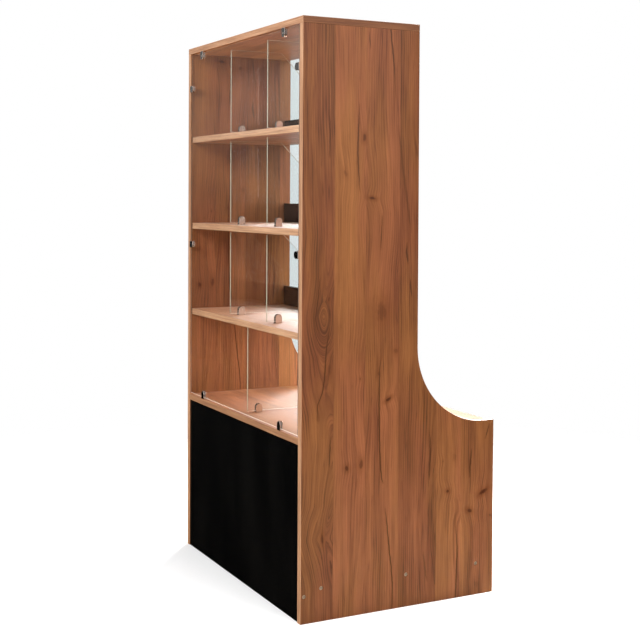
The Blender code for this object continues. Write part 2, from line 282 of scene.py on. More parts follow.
def fade(tree, value, low, high, start=0.0, end=1.0):
    """Start below low, end above high, a soft step between."""
    feeds = {"Value": value, "From Min": low, "From Max": high, "To Min": start, "To Max": end}
    made = add_node(tree, "ShaderNodeMapRange", feeds, interpolation_type="SMOOTHSTEP")
    return made.outputs["Result"]


def one_of(tree, choice, first, second):
    """The first value where the choice is nought, the second where it is one."""
    feeds = {"Factor": choice, "A": first, "B": second}
    return add_node(tree, "ShaderNodeMix", feeds, data_type="FLOAT").outputs[0]


def spot_at(tree, x, y, z):
    return add_node(tree, "ShaderNodeCombineXYZ", {"X": x, "Y": y, "Z": z}).outputs[0]


def parts_of(tree, vector):
    return add_node(tree, "ShaderNodeSeparateXYZ", {"Vector": vector}).outputs


print("a mid grey is", round(tone("#808080")[0], 3), "as linear light")

# %% [markdown]
# ## Noise and colours
# Wood, wiping marks and scratches are all noise that is pulled out one way. Noise swings between nought
# and one, so it is often moved to swing about nought before it is added to something. Colours are mixed
# by a mask, or read off a ramp.

# %% Noise and colour helpers
COLOUR_FACTOR, COLOUR_A, COLOUR_B, COLOUR_RESULT = 0, 6, 7, 2    # a Mix node's sockets for colours


def mottle(tree, vector, scale, detail=2.0, roughness=0.5):
    feeds = {"Vector": vector, "Scale": scale, "Detail": detail, "Roughness": roughness}
    return add_node(tree, "ShaderNodeTexNoise", feeds).outputs[0]


def drawn_out(tree, vector, spread, detail=2.0, roughness=0.5, shift=(0.0, 0.0, 0.0)):
    """Noise with its own scale each way: the smaller the number, the longer the streaks."""
    return mottle(tree, move(tree, "MULTIPLY_ADD", vector, spread, shift)[0], 1.0, detail, roughness)


def swing(tree, noise, width):
    """Noise that swings about nought, over a width."""
    return calc(tree, "MULTIPLY_ADD", noise, width, -width / 2)


def mixed(tree, factor, first, second):
    feeds = {COLOUR_FACTOR: factor, COLOUR_A: first, COLOUR_B: second}
    return add_node(tree, "ShaderNodeMix", feeds, data_type="RGBA").outputs[COLOUR_RESULT]


def ramp(tree, factor, stops, interpolation="LINEAR"):
    made = add_node(tree, "ShaderNodeValToRGB", {"Fac": factor})
    band = made.color_ramp
    band.interpolation = interpolation
    while len(band.elements) < len(stops):
        band.elements.new(1.0)
    for element, (place, colour) in zip(band.elements, stops):
        element.position = place
        element.color = colour
    return made.outputs["Color"]


def channels(tree, colour):
    """Red, green and blue of a colour, as three values."""
    return add_node(tree, "ShaderNodeSeparateColor", {"Color": colour}).outputs[:3]


def even_stops(codes):
    return [(i / (len(codes) - 1), tone(code)) for i, code in enumerate(codes)]


print("noise and colour helpers ready")

# %% [markdown]
# ## Groups and finishes
# An effect that several finishes use, such as the oak print, is a node group: built once, with named
# sockets, and placed in each material with its own values. The Principled shader stays in the material
# itself.

# %% Groups and finishes
def shader_group(name, takes, gives):
    """An empty node group with named sockets: its tree, its inputs and its outputs."""
    tree = bpy.data.node_groups.new(name, "ShaderNodeTree")
    for label, kind in takes:
        tree.interface.new_socket(label, in_out="INPUT", socket_type="NodeSocket" + kind)
    for label, kind in gives:
        tree.interface.new_socket(label, in_out="OUTPUT", socket_type="NodeSocket" + kind)
    inside = tree.nodes.new("NodeGroupInput").outputs
    outside = tree.nodes.new("NodeGroupOutput").inputs
    return tree, inside, outside


def use_group(tree, group, **feeds):
    made = tree.nodes.new("ShaderNodeGroup")
    made.node_tree = group
    for name, value in feeds.items():
        feed(tree, made.inputs[name], value)
    return made.outputs


def new_finish(name):
    """A material, its tree and its Principled shader."""
    material = bpy.data.materials.new(name)
    material.use_nodes = True
    return material, material.node_tree, material.node_tree.nodes["Principled BSDF"]


def bump(tree, shader, height, distance, strength=1.0):
    feeds = {"Height": height, "Distance": distance, "Strength": strength}
    feed(tree, shader.inputs["Normal"], add_node(tree, "ShaderNodeBump", feeds).outputs["Normal"])


def own_place(tree):
    """The piece's own coordinates, in metres."""
    return add_node(tree, "ShaderNodeTexCoord", {}).outputs["Object"]


print("groups and finishes ready")

# %% [markdown]
# ## The printed oak sheet: cracks
# The boards wear a printed sheet that shows old oak planks side by side. What makes it look old are
# long drying cracks that wander with the grain. Thin meshes would stand off the face, so a crack is
# drawn by a ramp that is read along the grain: red says where the line runs across the sheet and green
# how wide it is, and one ramp carries several cracks, one above the other. Places are in millimetres
# from the sheet's lower front corner.

# %% Cracks
SHEET_WIDTH = 0.750
SHEET_LENGTH = 1.600
# Rows of cracks: darkness, softness of the edges in mm, then points of height, place across and half
# width in mm. A half width of zero ends a crack
CRACK_ROWS = {
    "front plank": (0.85, 1.6, (
        (395, 81, 0), (410, 81, 1.6), (450, 83, 1.8), (490, 86, 0), (515, 45, 0), (530, 45, 0.8),
        (565, 46, 1.3), (595, 60, 1.6), (640, 67, 1.8), (700, 70, 1.7), (740, 76, 1.4), (772, 83, 0),
        (1095, 59, 0), (1120, 58, 0.9), (1155, 57, 0), (1198, 78, 0), (1215, 78, 1.2), (1270, 79, 1.5),
        (1295, 78, 1.4), (1335, 74, 0),
    )),
    "second plank": (0.85, 1.6, (
        (748, 53, 0), (765, 43, 1.1), (790, 39, 1.3), (820, 43, 1.5), (850, 47, 1.3), (880, 50, 0.9),
        (902, 51, 0), (1105, 168, 0), (1150, 165, 1.3), (1220, 161, 1.8), (1290, 163, 1.8), (1365, 165, 0),
        (1488, 197, 0), (1515, 196, 1.6), (1545, 192, 0),
    )),
    "third plank": (0.92, 1.6, (
        (0, 273, 1.2), (70, 274, 1.3), (120, 269, 1.5), (170, 262, 1.5), (230, 256, 1.5), (260, 252, 0.9),
        (288, 248, 0), (336, 245, 0), (350, 240, 1.3), (380, 235, 1.7), (450, 232, 1.8), (520, 230, 1.8),
        (600, 230, 1.5), (650, 231, 1.1), (702, 239, 0), (955, 231, 0), (990, 233, 1.3), (1040, 236, 0.9),
        (1072, 236, 0), (1340, 275, 0), (1400, 273, 0.8), (1440, 271, 1.4), (1480, 267, 1.9),
        (1520, 262, 1.8), (1560, 258, 1.6),
    )),
    "fourth plank": (0.85, 2.0, (
        (330, 387, 0), (350, 388, 1.8), (400, 391, 2.2), (440, 390, 2.0), (478, 388, 0), (488, 370, 0),
        (505, 370, 1.1), (560, 370, 1.2), (605, 369, 0), (832, 329, 0), (850, 327, 2.2), (870, 325, 2.2),
        (888, 324, 0), (922, 317, 0), (940, 315, 2.6), (955, 312, 2.8), (975, 313, 1.2), (988, 313, 0),
    )),
    "rear planks": (0.85, 1.8, (
        (0, 476, 2.0), (60, 478, 2.0), (120, 480, 1.7), (150, 480, 1.2), (200, 474, 0.7), (285, 470, 0),
        (325, 521, 0), (338, 521, 1.8), (370, 522, 2.4), (398, 525, 1.8), (412, 525, 0), (428, 571, 0),
        (445, 575, 1.8), (465, 583, 1.5), (478, 584, 0),
    )),
    "soft streaks": (0.45, 5.0, (
        (55, 384, 0), (72, 380, 3.0), (100, 376, 3.6), (130, 371, 2.6), (145, 370, 0), (612, 221, 0),
        (630, 221, 2.2), (665, 222, 2.0), (690, 223, 0), (1005, 327, 0), (1040, 321, 3.2), (1100, 312, 3.6),
        (1180, 299, 3.2), (1240, 292, 3.0), (1270, 286, 1.8), (1305, 281, 0),
    )),
    "short smears": (0.40, 5.0, (
        (1090, 184, 0), (1112, 184, 1.8), (1150, 183, 2.2), (1185, 182, 0), (1200, 349, 0),
        (1220, 344, 3.2), (1250, 337, 3.2), (1280, 333, 0),
    )),
}
WIDEST_CRACK = 10.0         # half width in mm that a full green stands for
CRACK_INK = 1.3             # the print spreads each crack to this many times its width
CRACK_WANDER = 0.0036
CRACK_ENDS = 0.0002, 0.0008    # half widths between which a crack fades out
STAIN_REACH = 0.007


def crack_stops(points):
    """A row of cracks as ramp stops: place across in red, half width in green."""
    stops = []
    for height, across, half in points:
        colour = (across / MM / SHEET_WIDTH, half / WIDEST_CRACK, 0.0, 1.0)
        stops.append((height / MM / SHEET_LENGTH, colour))
    return stops


def crack_row(tree, across, along, wander, row):
    """How deep inside a crack of this row a spot is, and how close to one."""
    darkness, softness, points = row
    read = ramp(tree, calc(tree, "DIVIDE", along, SHEET_LENGTH), crack_stops(points))
    red, green, _ = channels(tree, read)
    line = calc(tree, "MULTIPLY_ADD", red, SHEET_WIDTH, wander)
    off = calc(tree, "ABSOLUTE", calc(tree, "SUBTRACT", across, line))
    half = calc(tree, "MULTIPLY", green, CRACK_INK * WIDEST_CRACK / MM)
    inside = calc(tree, "SUBTRACT", half, off)
    depth = fade(tree, inside, -0.25 * softness / MM, 0.75 * softness / MM, 0.0, darkness)
    opened = fade(tree, half, *CRACK_ENDS)
    beside = calc(tree, "MULTIPLY", fade(tree, off, 0.0, STAIN_REACH, darkness, 0.0), opened)
    return calc(tree, "MULTIPLY", depth, opened), beside


def all_cracks(tree, spot):
    """The deepest crack at a spot, and the strongest stain beside one."""
    across, along, _ = parts_of(tree, spot)
    creep = drawn_out(tree, spot, (0.0, 55.0, 0.0))
    wander = swing(tree, creep, CRACK_WANDER)
    depth, beside = 0.0, 0.0
    for row in CRACK_ROWS.values():
        row_depth, row_beside = crack_row(tree, across, along, wander, row)
        depth = calc(tree, "MAXIMUM", row_depth, depth)
        beside = calc(tree, "MAXIMUM", row_beside, beside)
    return depth, beside


print("crack rows:", len(CRACK_ROWS))

# %% [markdown]
# ## The printed oak sheet: knots
# A knot is where a branch left the trunk: a dark eye, a stained ring round it, and growth rings that
# flow aside. A picture could hold them all, but then every board would show the same blur close up. One
# small node group is a knot, and it is placed once for each knot with its own size, turn and darkness.

# %% Knots
# Knots: place across, height and half width in mm, stretch along the grain, turn in degrees, darkness,
# and pull on the growth rings
KNOTS = (
    (62, 215, 4.0, 4.2, 4, 0.80, 0.6),
    (133, 392, 7.5, 1.1, 0, 0.78, 0.3),
    (176, 400, 7.5, 2.2, -6, 0.58, 0.3),
    (432, 382, 4.0, 1.0, 0, 0.25, 0.2),
    (448, 298, 6.0, 0.9, 0, 0.88, 0.4),
    (566, 285, 17.0, 0.45, 25, 0.95, 0.4),
    (519, 237, 11.0, 0.60, -20, 0.78, 0.4),
    (258, 565, 11.0, 0.45, 32, 0.95, 0.4),
    (181, 1260, 6.0, 2.2, 0, 0.70, 0.3),
    (125, 1165, 6.0, 1.9, 12, 0.40, 0.3),
    (205, 1101, 12.0, 0.40, -8, 0.90, 0.3),
    (172, 625, 3.5, 1.4, 0, 0.45, 0.2),
    (280, 693, 9.0, 0.9, 0, 0.35, 0.3),
    (236, 800, 20.0, 1.6, 0, 0.45, 0.5),
    (228, 636, 4.0, 2.0, 0, 0.50, 0.2),
    (78, 838, 4.0, 2.2, -15, 0.55, 0.2),
    (80, 655, 7.0, 2.6, 0, 0.30, 0.2),
    (590, 216, 6.0, 0.6, -15, 0.50, 0.2),
    (470, 390, 7.0, 2.2, 0, 0.25, 0.2),
    (545, 30, 12.0, 0.9, 0, 0.30, 0.2),
)
# Where the eye, the stain and the swirl begin to fade and end, in half widths from the knot's middle
EYE_FADE = 0.35, 1.0
STAIN_FADE = 0.5, 2.6
SWIRL_FADE = 0.0, 8.0
KNOT_WOBBLE = 0.9


def knot_group():
    """One knot: a dark eye, a stained ring round it, and its pull on the growth rings."""
    takes = [("Grain", "Vector"), ("Place", "Vector"), ("Shrink", "Vector"), ("Turn", "Float")]
    takes += [("Wobble", "Float"), ("Darkness", "Float"), ("Pull", "Float")]
    gives = [("Eye", "Float"), ("Stain", "Float"), ("Swirl", "Float")]
    tree, given, out = shader_group("oak knot", takes, gives)
    feeds = {"Vector": given["Grain"], "Center": given["Place"], "Angle": given["Turn"]}
    turned = add_node(tree, "ShaderNodeVectorRotate", feeds, rotation_type="Z_AXIS").outputs[0]
    offset = move(tree, "SUBTRACT", turned, given["Place"])[0]
    shrunk = move(tree, "MULTIPLY", offset, given["Shrink"])[0]
    away = calc(tree, "ADD", move(tree, "LENGTH", shrunk)["Value"], given["Wobble"])
    eye = fade(tree, away, *EYE_FADE, 1.0, 0.0)
    stain = fade(tree, away, *STAIN_FADE, 1.0, 0.0)
    swirl = fade(tree, away, *SWIRL_FADE, 1.0, 0.0)
    feed(tree, out["Eye"], calc(tree, "MULTIPLY", eye, given["Darkness"]))
    feed(tree, out["Stain"], calc(tree, "MULTIPLY", stain, given["Darkness"]))
    feed(tree, out["Swirl"], calc(tree, "MULTIPLY", swirl, given["Pull"]))
    return tree


def all_knots(tree, spot):
    """The strongest eye, stain and swirl of all knots."""
    wobble = swing(tree, drawn_out(tree, spot, (160.0, 70.0, 1.0), 1.0), KNOT_WOBBLE)
    eye, stain, swirl = 0.0, 0.0, 0.0
    for across, height, half, stretch, turn, darkness, pull in KNOTS:
        place = (across / MM, height / MM, 0.0)
        shrink = (MM / half, MM / (half * stretch), 0.0)
        got = use_group(
            tree, OAK_KNOT, Grain=spot, Place=place, Shrink=shrink, Turn=math.radians(-turn),
            Wobble=wobble, Darkness=darkness, Pull=pull,
        )
        eye = calc(tree, "MAXIMUM", got["Eye"], eye)
        stain = calc(tree, "MAXIMUM", got["Stain"], stain)
        swirl = calc(tree, "MAXIMUM", got["Swirl"], swirl)
    return eye, stain, swirl


OAK_KNOT = knot_group()
print("knots:", len(KNOTS))

# %% [markdown]
# ## The printed oak sheet: planks and growth rings
# Under the cracks lie the planks. A stepped ramp gives each plank its tone, a number of its own and the
# place of its heart. The growth rings could be plain stripes, but sawn oak shows pointed arches. So a
# ring is a distance from the heart, which rises and sinks along the plank: where it comes up to the
# face, the rings open into arches.

# %% Planks and growth rings
# Planks: left edge in mm, tone, own number, heart in mm
PLANKS = (
    (0, 0.45, 0.13, 66),
    (92, 0.72, 0.41, 250),
    (185, 0.64, 0.67, 120),
    (290, 0.48, 0.05, 424),
    (408, 0.60, 0.83, 520),
    (488, 0.58, 0.29, 380),
    (600, 0.62, 0.55, 650),
    (690, 0.46, 0.94, 600),
)
# The front plank's heart: height, place across and depth under the face in mm. Where it sinks, the
# rings close
FRONT_HEART = (
    (0, 100, 12), (90, 98, 12), (160, 80, 10), (215, 66, 9), (260, 76, 9.5), (300, 92, 11), (380, 98, 18),
    (460, 98, 30), (540, 85, 42), (600, 72, 42), (690, 66, 36), (760, 62, 14), (795, 60, 5), (830, 62, 14),
    (900, 72, 10), (1000, 78, 6), (1300, 70, 6), (1600, 66, 5),
)
FRONT_PLANK_WIDTH = 0.092
HEART_REACH = 100       # millimetres that a full red or green of the heart's ramp stands for
PLANK_SEED = 40.0       # how far apart the planks' noise lies
GRAIN_SWAY = 0.026
KNOT_PUSH = 0.020
RING_PITCH = 0.0064
RING_RISE = 0.25, 0.90    # a ring darkens slowly over this share of its width
RING_FALL = 0.91, 1.0     # and ends sharply over this one


def plank_of(tree, across):
    """The plank that a spot lies on: its tone, its number and the place of its heart."""
    stops = []
    for left, plank_tone, number, heart in PLANKS:
        stops.append((left / MM / SHEET_WIDTH, (plank_tone, number, heart / MM / SHEET_WIDTH, 1.0)))
    read = ramp(tree, calc(tree, "DIVIDE", across, SHEET_WIDTH), stops, "CONSTANT")
    plank_tone, number, heart = channels(tree, read)
    return plank_tone, number, calc(tree, "MULTIPLY", heart, SHEET_WIDTH)


def front_heart(tree, along):
    """The front plank's heart at a height: its place across and its depth under the face."""
    stops = []
    for height, across, under in FRONT_HEART:
        stops.append((height / MM / SHEET_LENGTH, (across / HEART_REACH, under / HEART_REACH, 0.0, 1.0)))
    red, green, _ = channels(tree, ramp(tree, calc(tree, "DIVIDE", along, SHEET_LENGTH), stops))
    return [calc(tree, "MULTIPLY", value, HEART_REACH / MM) for value in (red, green)]


def grain_flow(tree, spot, number, heart, swirl):
    """The spot on its own plank, the spot as the grain runs, and its distance from the plank's heart."""
    across, along, _ = parts_of(tree, spot)
    seed = calc(tree, "MULTIPLY", number, PLANK_SEED)
    course = spot_at(tree, across, along, seed)
    sway = swing(tree, drawn_out(tree, course, (9.0, 2.6, 1.0)), GRAIN_SWAY)
    level = drawn_out(tree, course, (0.0, 0.8, 3.0), 1.0)
    deep = calc(tree, "MULTIPLY_ADD", level, 0.11, -0.01)
    front_place, front_depth = front_heart(tree, along)
    in_front = calc(tree, "LESS_THAN", across, FRONT_PLANK_WIDTH)
    heart = one_of(tree, in_front, heart, front_place)
    sink = one_of(tree, in_front, deep, front_depth)
    side = calc(tree, "ADD", calc(tree, "SUBTRACT", across, heart), sway)
    squares = calc(tree, "ADD", calc(tree, "MULTIPLY", side, side), calc(tree, "MULTIPLY", sink, sink))
    radius = calc(tree, "MULTIPLY_ADD", swirl, KNOT_PUSH, calc(tree, "SQRT", squares))
    return course, spot_at(tree, radius, along, seed), radius


def growth_rings(tree, course, radius):
    """Dark late wood lines, strong in places and faint in others."""
    ring = calc(tree, "FRACT", calc(tree, "DIVIDE", radius, RING_PITCH))
    rising = fade(tree, ring, *RING_RISE)
    falling = fade(tree, ring, *RING_FALL, 1.0, 0.0)
    here = fade(tree, drawn_out(tree, course, (16.0, 5.0, 1.0), 1.0), 0.34, 0.60)
    return calc(tree, "MULTIPLY", calc(tree, "MULTIPLY", rising, falling), here)


print("planks:", len(PLANKS), "ring pitch in mm:", RING_PITCH * MM)

# %% [markdown]
# ## The printed oak sheet: the print
# Streaks, fibres and hair lines are noise pulled out along the grain. Added up, they say how light each
# spot is. One ramp of colours would look dull, so two do the work, a yellower and a redder oak that
# take turns. Pores, stains, cracks and knots are laid over them. The group hands out a colour, a
# roughness and a height.

# %% Oak print
YELLOW_OAK = ("#502d17", "#683d21", "#7b4c2a", "#885631", "#966038")
RED_OAK = ("#512b19", "#693a24", "#7c492d", "#895234", "#975b3b")
CRACK_TONE = tone("#42230f")
STAIN_TONE = tone("#663414")
KNOT_TONE = tone("#421c08")
# How strongly each mark shows in the wood's lightness
STREAK_SWING = 1.1
CLOUD_SWING = 0.40
FIBRE_SWING = 0.90
RING_DARKNESS = -0.26
HAIR_DARKNESS = -0.20
# How strongly each stain shows in the wood's colour
PORE_STAIN = 0.22
CRACK_STAIN = 0.30
KNOT_STAIN = 0.70
HAIR_WIDTH = 0.022


def hair_lines(tree, flow, spread, level):
    """Long thin lines: where a noise that is drawn out along the grain passes one level."""
    hills = drawn_out(tree, flow, spread)
    off = calc(tree, "ABSOLUTE", calc(tree, "SUBTRACT", hills, level))
    return fade(tree, off, 0.0, HAIR_WIDTH, 1.0, 0.0)


def oak_lightness(tree, course, flow, radius, fibre, plank_tone):
    """How light the wood is, from late wood at nought to early wood at one."""
    streak = drawn_out(tree, flow, (52.0, 1.7, 1.0), 3.0, 0.6)
    cloud = drawn_out(tree, course, (7.0, 3.2, 1.0))
    rings = growth_rings(tree, course, radius)
    wide_hairs = hair_lines(tree, flow, (95.0, 1.6, 1.0), 0.46)
    fine_hairs = hair_lines(tree, flow, (140.0, 2.6, 2.0), 0.57)
    hairs = calc(tree, "MAXIMUM", wide_hairs, fine_hairs)
    light = swing(tree, streak, STREAK_SWING)
    light = calc(tree, "ADD", light, swing(tree, cloud, CLOUD_SWING))
    light = calc(tree, "ADD", light, swing(tree, fibre, FIBRE_SWING))
    light = calc(tree, "ADD", light, calc(tree, "MULTIPLY", rings, RING_DARKNESS))
    light = calc(tree, "ADD", light, calc(tree, "MULTIPLY", hairs, HAIR_DARKNESS))
    return calc(tree, "ADD", light, plank_tone, clamp=True)


def oak_colour(tree, course, light):
    """Yellower oak in places and redder in others."""
    redness = drawn_out(tree, course, (9.0, 2.2, 1.0), shift=(3.0, 7.0, 0.0))
    yellow = ramp(tree, light, even_stops(YELLOW_OAK))
    red = ramp(tree, light, even_stops(RED_OAK))
    return mixed(tree, fade(tree, redness, 0.36, 0.64), yellow, red)


def oak_group():
    gives = [("Color", "Color"), ("Roughness", "Float"), ("Height", "Float")]
    tree, given, out = shader_group("printed oak", [("Grain", "Vector")], gives)
    u, v, _ = parts_of(tree, given["Grain"])
    across = calc(tree, "WRAP", u, SHEET_WIDTH, 0.0)
    spot = spot_at(tree, across, calc(tree, "WRAP", v, SHEET_LENGTH, 0.0), 0.0)
    plank_tone, number, heart = plank_of(tree, across)
    eye, stain, swirl = all_knots(tree, spot)
    crack, beside = all_cracks(tree, spot)
    course, flow, radius = grain_flow(tree, spot, number, heart, swirl)
    fibre = drawn_out(tree, flow, (330.0, 7.0, 1.0), 3.0, 0.65)
    pores = fade(tree, drawn_out(tree, flow, (1100.0, 40.0, 1.0), 1.0), 0.60, 0.74)

    light = oak_lightness(tree, course, flow, radius, fibre, plank_tone)
    colour = oak_colour(tree, course, light)
    for mask, strength in ((pores, PORE_STAIN), (beside, CRACK_STAIN), (stain, KNOT_STAIN)):
        colour = mixed(tree, calc(tree, "MULTIPLY", mask, strength), colour, STAIN_TONE)
    colour = mixed(tree, crack, colour, CRACK_TONE)
    colour = mixed(tree, eye, colour, KNOT_TONE)
    feed(tree, out["Color"], colour)
    feed(tree, out["Roughness"], calc(tree, "MULTIPLY_ADD", fibre, -0.16, 0.50))
    relief = calc(tree, "MULTIPLY_ADD", pores, -0.5, fibre)
    feed(tree, out["Height"], calc(tree, "SUBTRACT", relief, crack))
    return tree


PRINTED_OAK = oak_group()
print("oak print nodes:", len(PRINTED_OAK.nodes))

# %% [markdown]
# ## Board finishes
# The oak print lies under a clear melamine skin, so a face is a plain shader with a faint relief.
# Shelves and deck are wiped every day, so their upper faces are shinier; they are also painted paler, a
# painted sheen for the bright light that they reflect at a low angle. The deck's rear edge is rubbed dull.
# Edge banding is a strip of its own with a plainer print, only long fibres. It is lighter in front,
# painted lighter still on the shelves as painted light, and painted darker on the deck and on the ends as
# painted shade. The black boards are nearly black, with the fine orange-peel skin of melamine and faint
# wiping marks.

# %% Board materials
# A pale tone that the shelf and deck tops are mixed towards: a painted sheen
SHEEN_PAINT_TONE = tone("#c9a893")
WIPED_ROUGHNESS = 0.5
RUBBED_FROM, RUBBED_TO = 0.20, 0.27
OAK_RELIEF = 0.00012
BAND_RELIEF = 0.00008
PEEL_RELIEF = 0.00003
BLACK_DARK = (0.0018, 0.0018, 0.0019, 1.0)
BLACK_PALE = (0.0036, 0.0035, 0.0034, 1.0)


def grain_of(tree):
    return add_node(tree, "ShaderNodeUVMap", {}, uv_map="grain").outputs["UV"]


def make_oak_face(name, shine, coat=0.0, painted_sheen=0.0, rubbed=None):
    """A printed face. Where rubbed is given, the rear edge is worn dull, to that roughness."""
    material, tree, shader = new_finish(name)
    oak = use_group(tree, PRINTED_OAK, Grain=grain_of(tree))
    # Painted sheen: the upper face's colour is mixed towards a pale tone
    feed(tree, shader.inputs["Base Color"], mixed(tree, painted_sheen, oak["Color"], SHEEN_PAINT_TONE))
    feed(tree, shader.inputs["Roughness"], oak["Roughness"])
    shader.inputs["Specular IOR Level"].default_value = shine
    shader.inputs["Coat Weight"].default_value = coat
    shader.inputs["Coat Roughness"].default_value = WIPED_ROUGHNESS
    if rubbed:
        rear = fade(tree, parts_of(tree, own_place(tree))["Y"], RUBBED_FROM, RUBBED_TO)
        feed(tree, shader.inputs["Roughness"], one_of(tree, rear, oak["Roughness"], rubbed))
        feed(tree, shader.inputs["Coat Weight"], one_of(tree, rear, coat, 0.0))
    bump(tree, shader, oak["Height"], OAK_RELIEF, 0.5)
    return material


def make_oak_band(name, codes):
    material, tree, shader = new_finish(name)
    grain = grain_of(tree)
    streak = drawn_out(tree, grain, (300.0, 5.0, 1.0), 3.0, 0.6)
    fibre = drawn_out(tree, grain, (1500.0, 30.0, 1.0))
    light = calc(tree, "MULTIPLY_ADD", streak, 1.9, -0.5)
    light = calc(tree, "ADD", light, swing(tree, fibre, 0.5), clamp=True)
    feed(tree, shader.inputs["Base Color"], ramp(tree, light, even_stops(codes)))
    feed(tree, shader.inputs["Roughness"], calc(tree, "MULTIPLY_ADD", fibre, -0.2, 0.6))
    bump(tree, shader, fibre, BAND_RELIEF, 0.5)
    return material


def make_black_face():
    material, tree, shader = new_finish("black melamine")
    place = own_place(tree)
    peel = mottle(tree, place, 900.0)
    wiped = drawn_out(tree, place, (9.0, 9.0, 3.0), 3.0)
    colour = mixed(tree, fade(tree, wiped, 0.35, 0.75), BLACK_DARK, BLACK_PALE)
    feed(tree, shader.inputs["Base Color"], colour)
    feed(tree, shader.inputs["Roughness"], calc(tree, "MULTIPLY_ADD", wiped, 0.10, 0.10))
    shader.inputs["Specular IOR Level"].default_value = 0.1
    bump(tree, shader, peel, PEEL_RELIEF, 0.06)
    return material


OAK_FACE = make_oak_face("oak printed face", shine=0.55)
OAK_SHELF_FACE = make_oak_face("oak shelf face with painted sheen", shine=0.5, coat=1.0, painted_sheen=0.20)
OAK_DECK_FACE = make_oak_face("oak deck face with painted sheen", shine=0.5, coat=0.40, painted_sheen=0.06, rubbed=0.78)
OAK_BAND = make_oak_band("oak edge banding", ("#825b45", "#a3785b", "#ba8f70", "#cca486"))
# The shelves' banding is painted lighter: painted light on their front edges behind the glass
OAK_SHELF_BAND_PAINTED_LIGHT = make_oak_band("oak shelf banding with painted light", ("#9c6e54", "#c39170", "#dcab87", "#efc3a1"))
# The deck's banding is painted darker: painted shade on its low front edge
OAK_DECK_BAND_PAINTED_SHADE = make_oak_band("oak deck banding with painted shade", ("#6e4b36", "#8e654a", "#a57b5c", "#b88e6e"))
# The banding on ends and rear edges is painted darker: painted shade, as dim as the side faces
OAK_END_BAND_PAINTED_SHADE = make_oak_band("oak end banding with painted shade", ("#513120", "#6c442e", "#7c5136", "#8a5e40"))
BLACK_FACE = make_black_face()
print("board finishes:", OAK_FACE.name, OAK_BAND.name, BLACK_FACE.name)

# %% [markdown]
# ## Glass
# The pane and dividers are clear float glass. Real sheet glass hardly shades what is behind it, but a
# renderer's glass does, so light on its way to the shelves is let past by a mix with a Transparent
# shader on shadow and bounce rays. Ground edges scatter light: a divider's edges are pale. The pane's
# edges are painted dark brown, a painted shade that keeps them dull against the boards, and the edges
# that stand on the shelves are painted nearly white, a painted highlight for the light from below.

# %% Glass materials
GLASS_TINT = (0.955, 0.995, 1.0, 1.0)
LET_PAST_TINT = (0.985, 0.995, 1.0, 1.0)
GLASS_BEND = 1.45
GRIT_SCALE = 1400.0
GRIT_RELIEF = 0.00005


def make_sheet_glass():
    material, tree, shader = new_finish("clear sheet glass")
    smear = drawn_out(tree, own_place(tree), (6.0, 6.0, 2.5), 3.0)
    shader.inputs["Base Color"].default_value = GLASS_TINT
    shader.inputs["Transmission Weight"].default_value = 1.0
    shader.inputs["IOR"].default_value = GLASS_BEND
    feed(tree, shader.inputs["Roughness"], fade(tree, smear, 0.45, 0.8, 0.0, 0.02))
    paths = add_node(tree, "ShaderNodeLightPath", {}).outputs
    let_past = calc(tree, "MAXIMUM", paths["Is Shadow Ray"], paths["Is Diffuse Ray"])
    through = add_node(tree, "ShaderNodeBsdfTransparent", {"Color": LET_PAST_TINT})
    ways = {0: let_past, 1: shader.outputs[0], 2: through.outputs[0]}
    either = add_node(tree, "ShaderNodeMixShader", ways)
    feed(tree, tree.nodes["Material Output"].inputs["Surface"], either.outputs[0])
    return material


def make_ground_edge(name, dark, light):
    material, tree, shader = new_finish(name)
    grit = mottle(tree, own_place(tree), GRIT_SCALE)
    feed(tree, shader.inputs["Base Color"], mixed(tree, grit, (*dark, 1.0), (*light, 1.0)))
    feed(tree, shader.inputs["Roughness"], calc(tree, "MULTIPLY_ADD", grit, 0.3, 0.3))
    bump(tree, shader, grit, GRIT_RELIEF, 0.5)
    return material


SHEET_GLASS = make_sheet_glass()
GROUND_EDGE = make_ground_edge("ground divider edge", (0.38, 0.37, 0.29), (0.58, 0.56, 0.45))
# Painted shade: the pane's edges are dark brown, so that they stay dull against the boards
PANE_EDGE_PAINTED_SHADE = make_ground_edge("ground pane edge with painted shade", (0.16, 0.12, 0.09), (0.24, 0.18, 0.14))
# Painted highlight: the edges that stand on the shelves are nearly white
FOOT_EDGE_PAINTED_HIGHLIGHT = make_ground_edge("ground foot edge with painted highlight", (0.80, 0.79, 0.72), (0.95, 0.94, 0.88))
print("glass finishes:", SHEET_GLASS.name, GROUND_EDGE.name)

# %% [markdown]
# ## Metal and rubber
# The clips are bright nickel plate. Those on the dividers have their rim painted dark, a painted
# reflection of the dark room, and their broad faces in a paler, less metallic copy of the nickel, painted
# light. Screws are zinc steel, cams are cast zinc or a brown housing, and the clips' pads are soft
# rubber. One function makes all metals: a cloudy colour and a scratched roughness.

# %% Metal and rubber materials
LONG_SCRATCHES = (400, 400, 3000)
TURNED_SCRATCHES = (2500, 2500, 600)
CAST_GRAIN = (900, 900, 900)
SCRATCH_RELIEF = 0.00001
RUBBER_DARK = (0.010, 0.010, 0.011, 1.0)
RUBBER_PALE = (0.028, 0.027, 0.026, 1.0)


def make_metal(name, dark, light, rough, scratches, metallic=1.0):
    material, tree, shader = new_finish(name)
    place = own_place(tree)
    scratch = drawn_out(tree, place, scratches, 3.0, 0.6)
    cloud = mottle(tree, place, 240.0)
    feed(tree, shader.inputs["Base Color"], mixed(tree, cloud, (*dark, 1.0), (*light, 1.0)))
    shader.inputs["Metallic"].default_value = metallic
    feed(tree, shader.inputs["Roughness"], fade(tree, scratch, 0.2, 0.8, rough * 0.7, rough * 1.4))
    bump(tree, shader, scratch, SCRATCH_RELIEF, 0.3)
    return material


